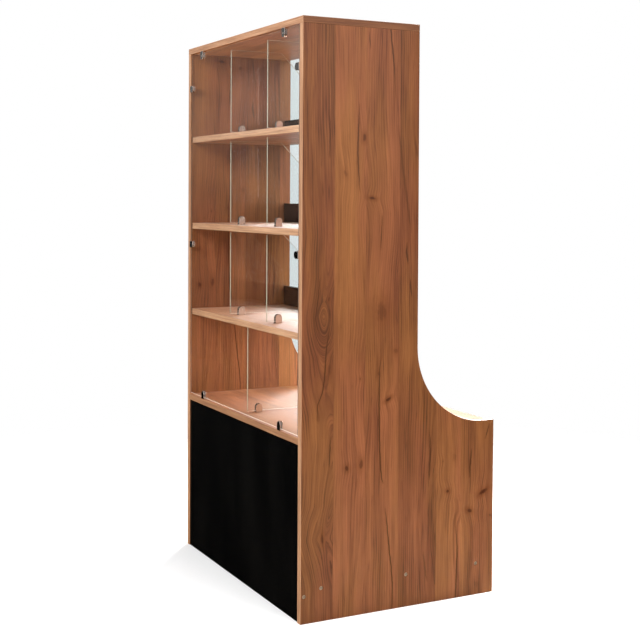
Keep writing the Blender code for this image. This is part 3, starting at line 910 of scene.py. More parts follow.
def make_rubber():
    material, tree, shader = new_finish("clip pad rubber")
    grain = mottle(tree, own_place(tree), 2500.0)
    feed(tree, shader.inputs["Base Color"], mixed(tree, grain, RUBBER_DARK, RUBBER_PALE))
    feed(tree, shader.inputs["Roughness"], calc(tree, "MULTIPLY_ADD", grain, 0.2, 0.6))
    return material


NICKEL = make_metal("nickel plate", (0.76, 0.74, 0.71), (0.88, 0.86, 0.83), 0.11, LONG_SCRATCHES)
# Painted shade and light for the divider clips: a dark copy of the nickel for their rims and a paler, less
# metallic one for their broad faces
NICKEL_RIM_PAINTED_DARK = make_metal("nickel rim with painted dark reflection", (0.16, 0.15, 0.14), (0.24, 0.23, 0.22), 0.16, LONG_SCRATCHES)
NICKEL_FACE_PAINTED_LIGHT = make_metal(
    "nickel face with painted light", (0.80, 0.78, 0.75), (0.92, 0.90, 0.87), 0.20, LONG_SCRATCHES, 0.86
)
ZINC = make_metal(
    "zinc screw steel", (0.35, 0.28, 0.21), (0.54, 0.46, 0.38), 0.34, TURNED_SCRATCHES, 0.5
)
CAST_ZINC = make_metal("cast cam zinc", (0.30, 0.30, 0.31), (0.46, 0.46, 0.47), 0.38, CAST_GRAIN)
BROWN_CAM = make_metal(
    "brown cam housing", (0.20, 0.080, 0.034), (0.26, 0.105, 0.048), 0.5, CAST_GRAIN, 0.0
)
PAD_RUBBER = make_rubber()
print("hardware finishes:", NICKEL.name, ZINC.name, CAST_ZINC.name, PAD_RUBBER.name)

# %% [markdown]
# ## Laying the grain
# A printed board shows the sheet the way it was cut from the roll: along the board on both faces.
# Object coordinates alone would put the same planks on every board. So every board gets a UV map called
# "grain", in metres, across the grain first and along it second, and starts somewhere else on the
# sheet, as offcuts do.

# %% Grain maps
def lay_grain(board, along, across, top_start, under_start):
    """Lays the sheet on a board, with one start for each of its two broad faces."""
    third = 3 - along - across
    low = Vector([min(spot.co[axis] for spot in board.data.vertices) for axis in (X, Y, Z)])
    sheet = board.data.uv_layers.new(name="grain")
    for face in board.data.polygons:
        facing = max((X, Y, Z), key=lambda axis: abs(face.normal[axis]))
        u_axis = third if facing == across else across
        v_axis = third if facing == along else along
        start = top_start if face.normal[third] >= 0 else under_start
        for corner in face.loop_indices:
            spot = board.data.vertices[board.data.loops[corner].vertex_index].co - low
            sheet.data[corner].uv = (start[0] + spot[u_axis], start[1] + spot[v_axis])


print("one sheet covers", SHEET_WIDTH, "by", SHEET_LENGTH, "m of board")

# %% [markdown]
# ## Edge banding
# Raw chipboard edges are closed with a glued plastic strip about a millimetre thick. A painted edge
# would look close from afar, but the hair line where the strip meets the face is what tells the eye
# that this is a banded board. So a strip is a piece of its own: a thin blank whose two outer long edges
# are rounded.

# %% Straight bands
BAND = 0.0010
BAND_ROUND = 0.0007
FACE_EASING = 0.00025


def straight_band(
    name, low, high, out_axis, out_sign, run_axis, start, material=OAK_BAND, slot="oak_board"
):
    """A strip that looks out along one axis and runs along another."""
    strip = blank(name, low, high)
    outer = high[out_axis] if out_sign > 0 else low[out_axis]
    third = 3 - out_axis - run_axis
    for edge_place in (low[third], high[third]):
        choose_edges(strip, lambda end: near(end[out_axis], outer) and near(end[third], edge_place))
        bpy.ops.mesh.bevel(offset=BAND_ROUND, segments=3, affect="EDGES")
    clean(strip)
    dress(strip, material)
    lay_grain(strip, run_axis, third, start, start)
    fit_to_case(strip, slot)


print("a band is", BAND * MM, "mm thick")

# %% [markdown]
# ## Level boards
# The top panel, shelves, deck and bottom board are the same idea in different sizes, so one function
# makes them all: a core that is short by one band on each banded edge, then the strips. Cam housings
# are let into the underside, so the core is bored for them first.

# %% Level boards
CAM_HOLE = 0.0078
CAM_HOUSING = 0.0075
CAM_SUNK = 0.0128
EDGES = {"front": (Y, -1), "rear": (Y, 1), "left": (X, -1), "right": (X, 1)}


def cam_middle(node):
    """Where the round housing of a level cam stands: its bolt makes the box longer to one side."""
    low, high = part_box(node)
    at_right = node.endswith("right")
    x = low.x + CAM_HOUSING if at_right else high.x - CAM_HOUSING
    return Vector((x, (low.y + high.y) / 2, low.z))


def level_core(node, low, high, cams, top_finish, top_start, under_start):
    """The bored and eased board between its bands, with its own finish on the upper face."""
    core = blank(f"{node}_core", low, high)
    for cam in cams:
        bore(core, Z, cam_middle(cam), CAM_SUNK, CAM_HOLE)
    ease(core, FACE_EASING)
    clean(core)
    dress(core, OAK_FACE, top_finish)
    for face in core.data.polygons:
        face.material_index = 1 if face.normal.z > FACING else 0
    lay_grain(core, X, Y, top_start, under_start)
    fit_to_case(core, "oak_board", node)


def level_board(
    node, banded, top_start, under_start, cams=(), front_finish=OAK_BAND, top_finish=OAK_FACE
):
    low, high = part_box(node)
    core_low, core_high = low.copy(), high.copy()
    for edge in banded:
        axis, sign = EDGES[edge]
        if sign > 0:
            core_high[axis] -= BAND
        else:
            core_low[axis] += BAND
    level_core(node, core_low, core_high, cams, top_finish, top_start, under_start)
    for edge in banded:
        axis, sign = EDGES[edge]
        strip_low, strip_high = low.copy(), high.copy()
        if axis == X:
            strip_low.y, strip_high.y = core_low.y, core_high.y
        if sign > 0:
            strip_low[axis] = core_high[axis]
        else:
            strip_high[axis] = core_low[axis]
        run = Y if axis == X else X
        # Ends and rear edges take the darker banding: painted shade
        finish = front_finish if edge == "front" else OAK_END_BAND_PAINTED_SHADE
        straight_band(f"{node}_{edge}_band", strip_low, strip_high, axis, sign, run, top_start, finish)


SHELF_LEVELS = ("upper", "middle", "lower")
SHELF_STARTS = {"upper": (0.05, 0.10), "middle": (0.30, 0.55), "lower": (0.12, 0.82)}
UNDERSIDE_SHIFT = (0.2, 0.5)
level_board("top_panel", ("front", "rear", "left", "right"), (0.10, 0.40), (0.40, 0.20))
for shelf_level in SHELF_LEVELS:
    shelf = f"{shelf_level}_shelf"
    shelf_start = SHELF_STARTS[shelf_level]
    level_board(
        shelf, ("front",), shelf_start, [sum(pair) for pair in zip(shelf_start, UNDERSIDE_SHIFT)],
        (f"{shelf}_cam_left", f"{shelf}_cam_right"), OAK_SHELF_BAND_PAINTED_LIGHT, OAK_SHELF_FACE,
    )
level_board(
    "deck_panel", ("front", "rear"), (0.08, 0.33), (0.02, 0.70),
    ("deck_panel_cam_left", "deck_panel_cam_right"), OAK_DECK_BAND_PAINTED_SHADE, OAK_DECK_FACE,
)
level_board("bottom_board", ("rear",), (0.15, 0.05), (0.05, 0.90))

# %% [markdown]
# ## Side panels
# Each side is one board with a stepped rear edge: deep at the base, shallow above, with a hollow curve
# between. An outline could be drawn and thickened, but pulling it out of a block keeps the faces
# square. We start from the base block, slice it where the upper part begins, pull that part up, and let
# a wide bevel on the inside corner make the hollow. Bores take the screw heads and the cam under the
# top panel.

# %% Side panel cores
PANEL_LOW, PANEL_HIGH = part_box("right_side_panel")
FRONT, REAR, PANEL_TOP = PANEL_LOW.y, PANEL_HIGH.y, PANEL_HIGH.z
UPPER_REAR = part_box("top_panel")[1].y
STEP_RISE = 0.004    # the step's flat above the deck
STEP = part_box("deck_panel")[1].z + STEP_RISE
STEP_FLAT = 0.035
HOLLOW = REAR - STEP_FLAT - UPPER_REAR
HOLLOW_STEPS = 28
SCREW_HOLE = 0.0051
SCREW_HEAD_SUNK = 0.0053
SCREWS = ("front_panel_screw", "bottom_screw_front", "bottom_screw_middle", "bottom_screw_rear")
SIDES = {"left": -1, "right": 1}


def stepped_board(name, x_low, x_high, trim):
    """A side panel's shape, with its front and rear edges cut back by a trim."""
    wall, tread = UPPER_REAR - trim, STEP - trim
    board = blank(name, (x_low, FRONT + trim, 0.0), (x_high, REAR - trim, tread))
    open_up(board, "FACE")
    bpy.ops.mesh.select_all(action="SELECT")
    bpy.ops.mesh.bisect(plane_co=(0.0, wall, 0.0), plane_no=(0.0, 1.0, 0.0))
    choose_faces(board, lambda middle, normal: normal.z > FACING and middle.y < wall)
    bpy.ops.mesh.extrude_region_move(TRANSFORM_OT_translate={"value": (0.0, 0.0, PANEL_TOP - tread)})
    choose_edges(board, lambda end: near(end.y, wall) and near(end.z, tread))
    bpy.ops.mesh.bevel(
        offset=HOLLOW + trim, segments=HOLLOW_STEPS, profile=0.5, affect="EDGES", clamp_overlap=False
    )
    put_down()
    return board


def drill_side(panel, side):
    """Head sinks on the outer face and the top cam's hole on the inner one."""
    sign = SIDES[side]
    low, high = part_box(f"{side}_side_panel")
    outer = high.x if sign > 0 else low.x
    inner = low.x if sign > 0 else high.x
    for screw in SCREWS:
        screw_low, screw_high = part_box(f"{side}_{screw}")
        middle = (screw_low + screw_high) / 2
        bore(panel, X, (outer, middle.y, middle.z), -sign * SCREW_HEAD_SUNK, SCREW_HOLE)
    cam_low, cam_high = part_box(f"top_panel_cam_{side}")
    cam_z = cam_low.z + CAM_HOUSING
    bore(panel, X, (inner, (cam_low.y + cam_high.y) / 2, cam_z), sign * CAM_SUNK, CAM_HOLE)


PANEL_STARTS = {"right": ((0.0, 0.0), (0.30, 0.62)), "left": ((0.098, 1.168), (0.0, 0.0))}
for side_name in SIDES:
    panel_low, panel_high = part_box(f"{side_name}_side_panel")
    side_core = stepped_board(f"{side_name}_side_panel_core", panel_low.x, panel_high.x, BAND)
    drill_side(side_core, side_name)
    ease(side_core, FACE_EASING)
    clean(side_core)
    dress(side_core, OAK_FACE)
    lay_grain(side_core, Z, Y, *PANEL_STARTS[side_name])
    fit_to_case(side_core, "oak_board", f"{side_name}_side_panel")
    print(side_core.name, "faces:", len(side_core.data.polygons))

# %% [markdown]
# ## Bands round the side panels
# The front band is straight. The rear one is bent round the whole stepped edge, which a real banding
# machine does with warm glue. A strip could be bent along a curve, but it has to meet the core all the
# way. So we make the full shape once more, keep only its rear faces, and thicken that ribbon inwards
# with Solidify. Its grain runs round the corner with it, so the map is measured along the ribbon.

# %% Side panel bands
HOLLOW_MIDDLE = Vector((UPPER_REAR + HOLLOW, STEP + HOLLOW))
ARC_LENGTH = HOLLOW * QUARTER
RIBBON_EASING = BAND * 0.42
RIBBON_SLACK = BAND * 1.5
RIBBON_START = 0.4
FRONT_BAND_START = (0.1, 0.2)
HALF_FACING = 0.5
LEAST_TILT = 0.01    # a face with this much of its normal to the rear counts as rearward


def way_round(spot):
    """Distance along the rear edge, from the top down the wall, round the hollow and down to the floor."""
    y, z = spot.y, spot.z
    if z >= HOLLOW_MIDDLE.y:
        return PANEL_TOP - z
    wall = PANEL_TOP - HOLLOW_MIDDLE.y
    if y <= HOLLOW_MIDDLE.x:
        return wall + HOLLOW * math.atan2(HOLLOW_MIDDLE.y - z, HOLLOW_MIDDLE.x - y)
    if near(y, REAR, RIBBON_SLACK) and z < STEP - RIBBON_SLACK:
        return wall + ARC_LENGTH + STEP_FLAT + STEP - z
    return wall + ARC_LENGTH + y - HOLLOW_MIDDLE.x


def looks_rearwards(middle, normal):
    """True for the faces that the bent band covers."""
    on_tread = normal.z > HALF_FACING and UPPER_REAR < middle.y
    return abs(normal.x) < HALF_FACING and (normal.y > LEAST_TILT or on_tread)


def rear_band(name, x_low, x_high):
    ribbon = stepped_board(name, x_low, x_high, 0.0)
    choose_faces(ribbon, looks_rearwards)
    bpy.ops.mesh.select_all(action="INVERT")
    bpy.ops.mesh.delete(type="FACE")
    put_down()
    apply_modifier(ribbon, "SOLIDIFY", thickness=BAND, offset=-1.0, use_even_offset=True)
    ease(ribbon, RIBBON_EASING)
    clean(ribbon)
    # The bent rear band takes the darker banding: painted shade
    dress(ribbon, OAK_END_BAND_PAINTED_SHADE)
    sheet = ribbon.data.uv_layers.new(name="grain")
    for loop in ribbon.data.loops:
        spot = ribbon.data.vertices[loop.vertex_index].co
        sheet.data[loop.index].uv = (spot.x + RIBBON_START, way_round(spot))
    fit_to_case(ribbon, "oak_board")
    return ribbon


for side_name in SIDES:
    panel_low, panel_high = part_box(f"{side_name}_side_panel")
    front_high = Vector((panel_high.x, FRONT + BAND, PANEL_TOP))
    straight_band(
        f"{side_name}_side_panel_front_band", panel_low, front_high, Y, -1, Z, FRONT_BAND_START
    )
    ribbon = rear_band(f"{side_name}_side_panel_rear_band", panel_low.x, panel_high.x)
    print(ribbon.name, "faces:", len(ribbon.data.polygons))

# %% [markdown]
# ## Black boards
# The panel below the glass and the three lips behind the shelves are cut from thinner black board. They
# carry a black band on their long edges. The maker eases them only a hair, so the edges stay crisp.
# They are made like the oak boards, from a core and two strips, because the same fine seam shows on
# them.

# %% Black boards
NO_START = (0.0, 0.0)


def black_board(node):
    low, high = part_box(node)
    core = blank(f"{node}_core", low + Vector((0, 0, BAND)), high - Vector((0, 0, BAND)))
    ease(core, FACE_EASING)
    clean(core)
    dress(core, BLACK_FACE)
    lay_grain(core, X, Z, NO_START, NO_START)
    fit_to_case(core, "black_board", node)
    top_low = Vector((low.x, low.y, high.z - BAND))
    straight_band(f"{node}_top_band", top_low, high, Z, 1, X, NO_START, BLACK_FACE, "black_board")
    under_high = Vector((high.x, high.y, low.z + BAND))
    straight_band(f"{node}_under_band", low, under_high, Z, -1, X, NO_START, BLACK_FACE, "black_board")


black_board("front_lower_panel")
for shelf_level in SHELF_LEVELS:
    black_board(f"{shelf_level}_shelf_lip")
print("black boards: front panel and", len(SHELF_LEVELS), "lips")

# %% [markdown]
# ## Pane and dividers
# Sheet glass comes from the cutter with a ground edge and a small arris, so nobody gets cut. A plain
# box would have no line where face and edge meet, so the corners are eased and the edge faces get a
# ground finish. On the dividers they draw the bright lines in the photograph. A divider's upper rear
# corner is taken off with one big bevel.

# %% Pane and dividers
GLASS_ARRIS = 0.0006
CUT_CORNER = 0.130
CLEAR_FACING = 0.99
FOOT_FACING = -0.5
CLEAR, GROUND, FOOT = 0, 1, 2    # material slots of a sheet
DIVIDERS = [f"{level}_divider_{side}" for level in SHELF_LEVELS for side in SIDES] + ["deck_divider"]


def grind_edges(glass, face_axis, node, edge_finish=GROUND_EDGE):
    """Breaks the corners and gives every face but the two clear ones a ground finish."""
    ease(glass, GLASS_ARRIS, 1)
    clean(glass)
    dress(glass, SHEET_GLASS, edge_finish, FOOT_EDGE_PAINTED_HIGHLIGHT)
    for face in glass.data.polygons:
        if abs(face.normal[face_axis]) > CLEAR_FACING:
            face.material_index = CLEAR
        else:
            face.material_index = FOOT if face.normal.z < FOOT_FACING else GROUND
    fit_to_case(glass, "clear_glass", node)


pane = blank("front_glass_pane_sheet", *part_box("front_glass_pane"))
grind_edges(pane, Y, "front_glass_pane", PANE_EDGE_PAINTED_SHADE)
for divider in DIVIDERS:
    low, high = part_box(divider)
    sheet = blank(f"{divider}_sheet", low, high)
    choose_edges(sheet, lambda end: near(end.y, high.y) and near(end.z, high.z))
    bpy.ops.mesh.bevel(offset=CUT_CORNER, segments=1, affect="EDGES")
    put_down()
    grind_edges(sheet, X, divider)
print("glass sheets:", 1 + len(DIVIDERS))

# %% [markdown]
# ## One glass clip
# A clip is a D of plated metal with a slot for the glass, two thin rubber pads and a small clamping
# screw with a hex socket. Half a cylinder on a block would leave a seam, so the D is a block whose two
# far corners are rounded until they meet. We build one at the origin, foot down, glass across Y, and
# copy it later.

# %% Clip
CLIP_LOW, CLIP_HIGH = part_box("pane_clip_bottom_right")
CLIP_WIDTH = CLIP_HIGH.x - CLIP_LOW.x
CLIP_THICK = CLIP_HIGH.y - CLIP_LOW.y
CLIP_REACH = CLIP_HIGH.z - CLIP_LOW.z
CLIP_FOOT = 0.004
CLIP_SLOT = 0.0056
CLIP_RIM = 0.0005
SLOT_OVERRUN = 0.002
D_STEPS = 14
D_WELD = 0.00002
PAD = 0.00026
PAD_RADIUS = 0.0078
PAD_ABOVE_FOOT = 0.0008
PAD_BELOW_TIP = 0.0022
GRUB_RADIUS = 0.0021
GRUB_LENGTH = 0.0028
GRUB_HEIGHT = 0.0135
GRUB_SUNK = 0.0003
GRUB_PLAY = 0.0002
GRUB_BORE = 0.004
GRUB_SOCKET = 0.0012
GRUB_KEY = 0.0030
GRUB_EASING = 0.0002


def d_block(name, half_width, y_low, y_high, z_low, z_high):
    """A block with its two far corners rounded into a half circle."""
    block = blank(name, (-half_width, y_low, z_low), (half_width, y_high, z_high))
    choose_edges(block, lambda end: near(end.z, z_high) and near(abs(end.x), half_width))
    shape = bmesh.from_edit_mesh(block.data)
    for edge in shape.edges:
        first, second = edge.verts
        edge.select_set(edge.select and not near(first.co.y, second.co.y))
    bmesh.update_edit_mesh(block.data)
    bpy.ops.mesh.bevel(offset=half_width, segments=D_STEPS, affect="EDGES", clamp_overlap=False)
    bpy.ops.mesh.select_all(action="SELECT")
    bpy.ops.mesh.remove_doubles(threshold=D_WELD)
    put_down()
    return block


def make_clip_body():
    half = CLIP_THICK / 2
    body = d_block("clip_body", CLIP_WIDTH / 2, -half, half, 0.0, CLIP_REACH)
    slot_low = (-CLIP_WIDTH, -CLIP_SLOT / 2, CLIP_FOOT)
    slot_high = (CLIP_WIDTH, CLIP_SLOT / 2, CLIP_REACH + SLOT_OVERRUN)
    take_away(body, blank("slot", slot_low, slot_high))
    bore(body, Y, (0.0, half, GRUB_HEIGHT), -GRUB_BORE, GRUB_RADIUS + GRUB_PLAY)
    ease(body, CLIP_RIM, 3)
    clean(body)
    dress(body, NICKEL)
    return body


def make_grub():
    """The clamping screw, sunk a little in the rear cheek."""
    half = CLIP_THICK / 2
    middle = half - GRUB_SUNK - GRUB_LENGTH / 2
    grub = rod("clip_grub", Y, (0.0, middle, GRUB_HEIGHT), GRUB_RADIUS, GRUB_LENGTH, 24)
    take_away(grub, rod("hex_key", Y, (0.0, half, GRUB_HEIGHT), GRUB_SOCKET, GRUB_KEY, 6))
    ease(grub, GRUB_EASING)
    clean(grub)
    dress(grub, ZINC)
    return grub


def make_pads():
    pads = []
    for sign in (-1, 1):
        outer, inner = sign * CLIP_SLOT / 2, sign * (CLIP_SLOT / 2 - PAD)
        y_low, y_high = min(outer, inner), max(outer, inner)
        z_low, z_high = CLIP_FOOT + PAD_ABOVE_FOOT, CLIP_REACH - PAD_BELOW_TIP
        pad = d_block("clip_pad", PAD_RADIUS, y_low, y_high, z_low, z_high)
        clean(pad)
        dress(pad, PAD_RUBBER)
        pads.append(pad)
    return pads


CLIP = join(make_clip_body(), make_grub(), *make_pads())
CLIP.name = "clip_model"
print("clip faces:", len(CLIP.data.polygons))

# %% [markdown]
# ## Setting the clips
# The pane's clips sit on the boards round it: hanging under the top, standing on the deck, reaching in
# from the sides. The dividers' clips stand on the shelves, turned a quarter so that they hold glass
# that runs front to back; their rims are painted dark as painted shade and their broad faces lighter as
# painted light. Every copy has a mesh of its own, so that it can be moved and dressed alone.

# %% Clip copies
BROAD_FACING = 0.95


def copy_to(model, name, turn, spot):
    """A copy of a model with its own mesh, turned and moved, its place left in the mesh."""
    pick_up(model)
    bpy.ops.object.duplicate(linked=False)
    bpy.context.object.rotation_euler = turn
    bpy.context.object.location = spot
    return settle(name)


def paint_rim_and_faces(clip, axis):
    """Paints a clip's rim and slot dark as painted shade and its two broad faces lighter as painted light.
    """
    clip.data.materials[0] = NICKEL_RIM_PAINTED_DARK
    clip.data.materials.append(NICKEL_FACE_PAINTED_LIGHT)
    lit_face_slot = len(clip.data.materials) - 1
    for face in clip.data.polygons:
        if face.material_index == 0 and abs(face.normal[axis]) > BROAD_FACING:
            face.material_index = lit_face_slot


def set_clip(node, turn, foot_axis, foot_at_high, broad_axis=None):
    low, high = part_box(node)
    spot = (low + high) / 2
    spot[foot_axis] = high[foot_axis] if foot_at_high else low[foot_axis]
    clip = copy_to(CLIP, f"{node}_plated", turn, spot)
    if broad_axis is not None:
        paint_rim_and_faces(clip, broad_axis)
    fit_to_case(clip, "clip_metal", node)


for side_name, side_sign in SIDES.items():
    set_clip(f"pane_clip_top_{side_name}", (math.pi, 0, 0), Z, True)
    set_clip(f"pane_clip_bottom_{side_name}", (0, 0, 0), Z, False)
    for height_name in ("upper", "lower"):
        reach_in = (0, -side_sign * QUARTER, 0)
        set_clip(f"pane_clip_{side_name}_{height_name}", reach_in, X, side_name == "right")
for divider in DIVIDERS:
    for end_name in ("front", "rear"):
        set_clip(f"{divider}_clip_{end_name}", (0, 0, QUARTER), Z, False, X)
bpy.data.objects.remove(CLIP, do_unlink=True)

# %% [markdown]
# ## Connecting screws
# The heads on the sides belong to connecting screws: a thick thread that cuts straight into the board,
# a short cone and a flat head with a hex socket. A true spiral would hardly show inside a board, so the
# thread is a row of ridges. We start from the head as a rod, draw the rest of the screw out of its
# lower face step by step, and cut the socket with a six-sided bar.

# %% Screws
SCREW_HEAD = 0.0048
SCREW_SHANK = 0.0032
SCREW_CORE = 0.0025
SCREW_LENGTH = 0.050
HEAD_DEPTH = 0.003
HEAD_EASING = 0.0005
NECK = 0.008             # plain shank under the head's cone
POINT_LENGTH = 0.004
POINT_RADIUS = 0.0004
SOCKET_REACH = 0.0031
SOCKET_DEPTH = 0.0040
THREAD_TURNS = 12
FLANK, VALLEY = 0.3, 0.4    # shares of the thread's pitch


def draw_down(screw, drop, radius_now, radius_next):
    """Draws the lowest face down and changes its radius."""
    lowest = min(spot.co.z for spot in screw.data.vertices)
    choose_faces(screw, lambda middle, normal: near(middle.z, lowest) and normal.z < -FACING)
    bpy.ops.mesh.extrude_region_move(TRANSFORM_OT_translate={"value": (0, 0, -drop)})
    size = radius_next / radius_now
    bpy.ops.transform.resize(value=(size, size, 1), center_override=(0, 0, lowest - drop))
    put_down()


def make_screw():
    """Head up at the origin, point down."""
    screw = rod("screw_model", Z, (0, 0, -HEAD_DEPTH / 2), SCREW_HEAD, HEAD_DEPTH, 24)
    cone = SCREW_HEAD - SCREW_SHANK
    draw_down(screw, cone, SCREW_HEAD, SCREW_SHANK)
    draw_down(screw, NECK, SCREW_SHANK, SCREW_SHANK)
    pitch = (SCREW_LENGTH - HEAD_DEPTH - cone - NECK - POINT_LENGTH) / THREAD_TURNS
    for _ in range(THREAD_TURNS):
        draw_down(screw, pitch * FLANK, SCREW_SHANK, SCREW_CORE)
        draw_down(screw, pitch * VALLEY, SCREW_CORE, SCREW_CORE)
        draw_down(screw, pitch * FLANK, SCREW_CORE, SCREW_SHANK)
    draw_down(screw, POINT_LENGTH, SCREW_SHANK, POINT_RADIUS)
    choose_edges(screw, lambda end: near(end.z, 0.0))
    bpy.ops.mesh.bevel(offset=HEAD_EASING, segments=2, affect="EDGES")
    put_down()
    take_away(screw, rod("hex_key", Z, (0, 0, 0), SOCKET_REACH, SOCKET_DEPTH * 2, 6))
    clean(screw)
    dress(screw, ZINC)
    return screw


SCREW = make_screw()
for side_name, side_sign in SIDES.items():
    for screw_name in SCREWS:
        node = f"{side_name}_{screw_name}"
        low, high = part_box(node)
        head = (low + high) / 2
        head.x = high.x if side_sign > 0 else low.x
        screw = copy_to(SCREW, f"{node}_turned", (0, side_sign * QUARTER, 0), head)
        fit_to_case(screw, "screw_steel", node)
bpy.data.objects.remove(SCREW, do_unlink=True)

# %% [markdown]
# ## Cam connectors
# The shelves, deck and top show no screws, because cams hold them: a cast drum in the board that is
# turned with a screwdriver and pulls a bolt tight. Only its face shows, from below, so that is where
# the detail goes: a raised rim made by an inset, and a cross slot cut by two blanks. The two cams under
# the top are brown.

# %% Cams
CAM_DEPTH = 0.0125
CAM_RIM = 0.0009
CAM_DISH = 0.0005
CAM_EASING = 0.0002
CROSS_LONG, CROSS_WIDE = 0.0042, 0.0007    # half sizes of the cross slot
CROSS_LOW, CROSS_HIGH = -0.001, 0.003
BOLT_RADIUS = 0.0030
BOLT_HEIGHT = 0.009
BOLT_EASING = 0.0004
CAM_REACH = 0.045


def make_cam():
    """Drum standing on the XY plane with its face down, bolt along +X."""
    drum = rod("cam_model", Z, (0, 0, CAM_DEPTH / 2), CAM_HOUSING, CAM_DEPTH)
    choose_faces(drum, lambda middle, normal: normal.z < -FACING)
    bpy.ops.mesh.inset(thickness=CAM_RIM)
    bpy.ops.mesh.extrude_region_move(TRANSFORM_OT_translate={"value": (0, 0, CAM_DISH)})
    put_down()
    for half_x, half_y in ((CROSS_LONG, CROSS_WIDE), (CROSS_WIDE, CROSS_LONG)):
        take_away(drum, blank("slot", (-half_x, -half_y, CROSS_LOW), (half_x, half_y, CROSS_HIGH)))
    ease(drum, CAM_EASING)
    bolt_middle = ((CAM_HOUSING + CAM_REACH) / 2, 0, BOLT_HEIGHT)
    bolt = rod("cam_bolt", X, bolt_middle, BOLT_RADIUS, CAM_REACH - CAM_HOUSING, 20)
    ease(bolt, BOLT_EASING)
    join(drum, bolt)
    clean(drum)
    dress(drum, CAST_ZINC)
    return drum


CAM = make_cam()
for side_name, side_sign in SIDES.items():
    turn = 0 if side_sign > 0 else math.pi
    for target in [f"{level}_shelf" for level in SHELF_LEVELS] + ["deck_panel"]:
        node = f"{target}_cam_{side_name}"
        cam = copy_to(CAM, f"{node}_cast", (0, 0, turn), cam_middle(node))
        fit_to_case(cam, "cam_metal", node)
    node = f"top_panel_cam_{side_name}"
    low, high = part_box(node)
    spot = (low.x if side_sign > 0 else high.x, (low.y + high.y) / 2, low.z + CAM_HOUSING)
    stand_up = (0, -QUARTER, 0 if side_sign < 0 else math.pi)
    cam = copy_to(CAM, f"{node}_cast", stand_up, spot)
    dress(cam, BROWN_CAM)
    fit_to_case(cam, "cam_metal", node)
bpy.data.objects.remove(CAM, do_unlink=True)

# %% [markdown]
# ## The studio floor
# The photograph is a catalogue shot, white all round. A round floor fades out into the white world, so
# no edge shows. The camera sees it nearly white, and the case gets a warmer bounce from it, as in a
# room with a wooden floor.

# %% Studio floor
FLOOR_RADIUS = 2.8
FLOOR_FADE = 0.8, FLOOR_RADIUS * 0.9
FLOOR_WARM = (0.80, 0.70, 0.52, 1.0)
FLOOR_PALE = (0.92, 0.92, 0.92, 1.0)


def make_floor():
    put_down()
    bpy.ops.mesh.primitive_circle_add(
        vertices=96, radius=FLOOR_RADIUS, fill_type="NGON", location=(0, 0, 0)
    )
    floor = bpy.context.object
    floor.name = "studio_floor"
    material, tree, shader = new_finish("studio floor")
    away = move(tree, "LENGTH", own_place(tree))["Value"]
    looked_at = add_node(tree, "ShaderNodeLightPath", {}).outputs["Is Camera Ray"]
    feed(tree, shader.inputs["Base Color"], mixed(tree, looked_at, FLOOR_WARM, FLOOR_PALE))
    shader.inputs["Roughness"].default_value = 0.9
    shader.inputs["Specular IOR Level"].default_value = 0.0
    feed(tree, shader.inputs["Alpha"], fade(tree, away, *FLOOR_FADE, 1.0, 0.0))
    dress(floor, material)
    floor.visible_glossy = False


make_floor()
print("studio floor radius:", FLOOR_RADIUS, "m")

# %% [markdown]
# ## Dark cards and the white world
# Glass and black board show what they reflect. In an all-white studio they would turn milky, so
# photographers put up black cards. Ours are black for reflected rays only. Seen straight through glass
# they are as white as the world, the camera never sees them directly, and they shade nothing. One
# stands before the case, one behind it to the right, a small one behind the pane's right part, and
# one lies under the floor.

# %% Cards and world
CARD_BLACK = (0.004, 0.004, 0.004, 1.0)
PALE_HEIGHTS = 0.8, 1.6
WORLD_LIGHT = 0.03
WHITE = (1.0, 1.0, 1.0, 1.0)


def make_dark_card(name, middle, turn, size, pale=0.0):
    """A card that is black in reflections, paler towards its top if wanted, and white through glass."""
    put_down()
    bpy.ops.mesh.primitive_plane_add(size=1, location=middle, rotation=turn)
    bpy.context.object.scale = (*size, 1.0)
    card = settle(name)
    material, tree, shader = new_finish(name)
    shader.inputs["Base Color"].default_value = CARD_BLACK
    shader.inputs["Roughness"].default_value = 1.0
    shader.inputs["Specular IOR Level"].default_value = 0.0
    height = parts_of(tree, own_place(tree))["Z"]
    bounces = add_node(tree, "ShaderNodeLightPath", {}).outputs["Glossy Depth"]
    reflected = calc(tree, "GREATER_THAN", bounces, 0.5)
    glow = one_of(tree, reflected, 1.0, fade(tree, height, *PALE_HEIGHTS, 0.0, pale))
    feed(tree, shader.inputs["Emission Color"], glow)
    shader.inputs["Emission Strength"].default_value = 1.0
    material.cycles.emission_sampling = "NONE"
    dress(card, material)
    card.visible_camera = False
    card.visible_diffuse = False
    card.visible_shadow = False
    card.visible_volume_scatter = False
    return card


def make_world():
    """A little light from all round, and plain white wherever the world is looked at."""
    world = bpy.data.worlds.new("studio")
    bpy.context.scene.world = world
    world.use_nodes = True
    tree = world.node_tree
    tree.nodes.clear()
    soft = add_node(tree, "ShaderNodeBackground", {"Color": WHITE, "Strength": WORLD_LIGHT})
    white = add_node(tree, "ShaderNodeBackground", {"Color": WHITE, "Strength": 1.0})
    paths = add_node(tree, "ShaderNodeLightPath", {}).outputs
    seen = calc(tree, "MAXIMUM", paths["Is Camera Ray"], paths["Is Glossy Ray"])
    seen = calc(tree, "MAXIMUM", seen, paths["Is Transmission Ray"])
    either = add_node(tree, "ShaderNodeMixShader", {0: seen, 1: soft.outputs[0], 2: white.outputs[0]})
    out = tree.nodes.new("ShaderNodeOutputWorld")
    feed(tree, out.inputs["Surface"], either.outputs[0])


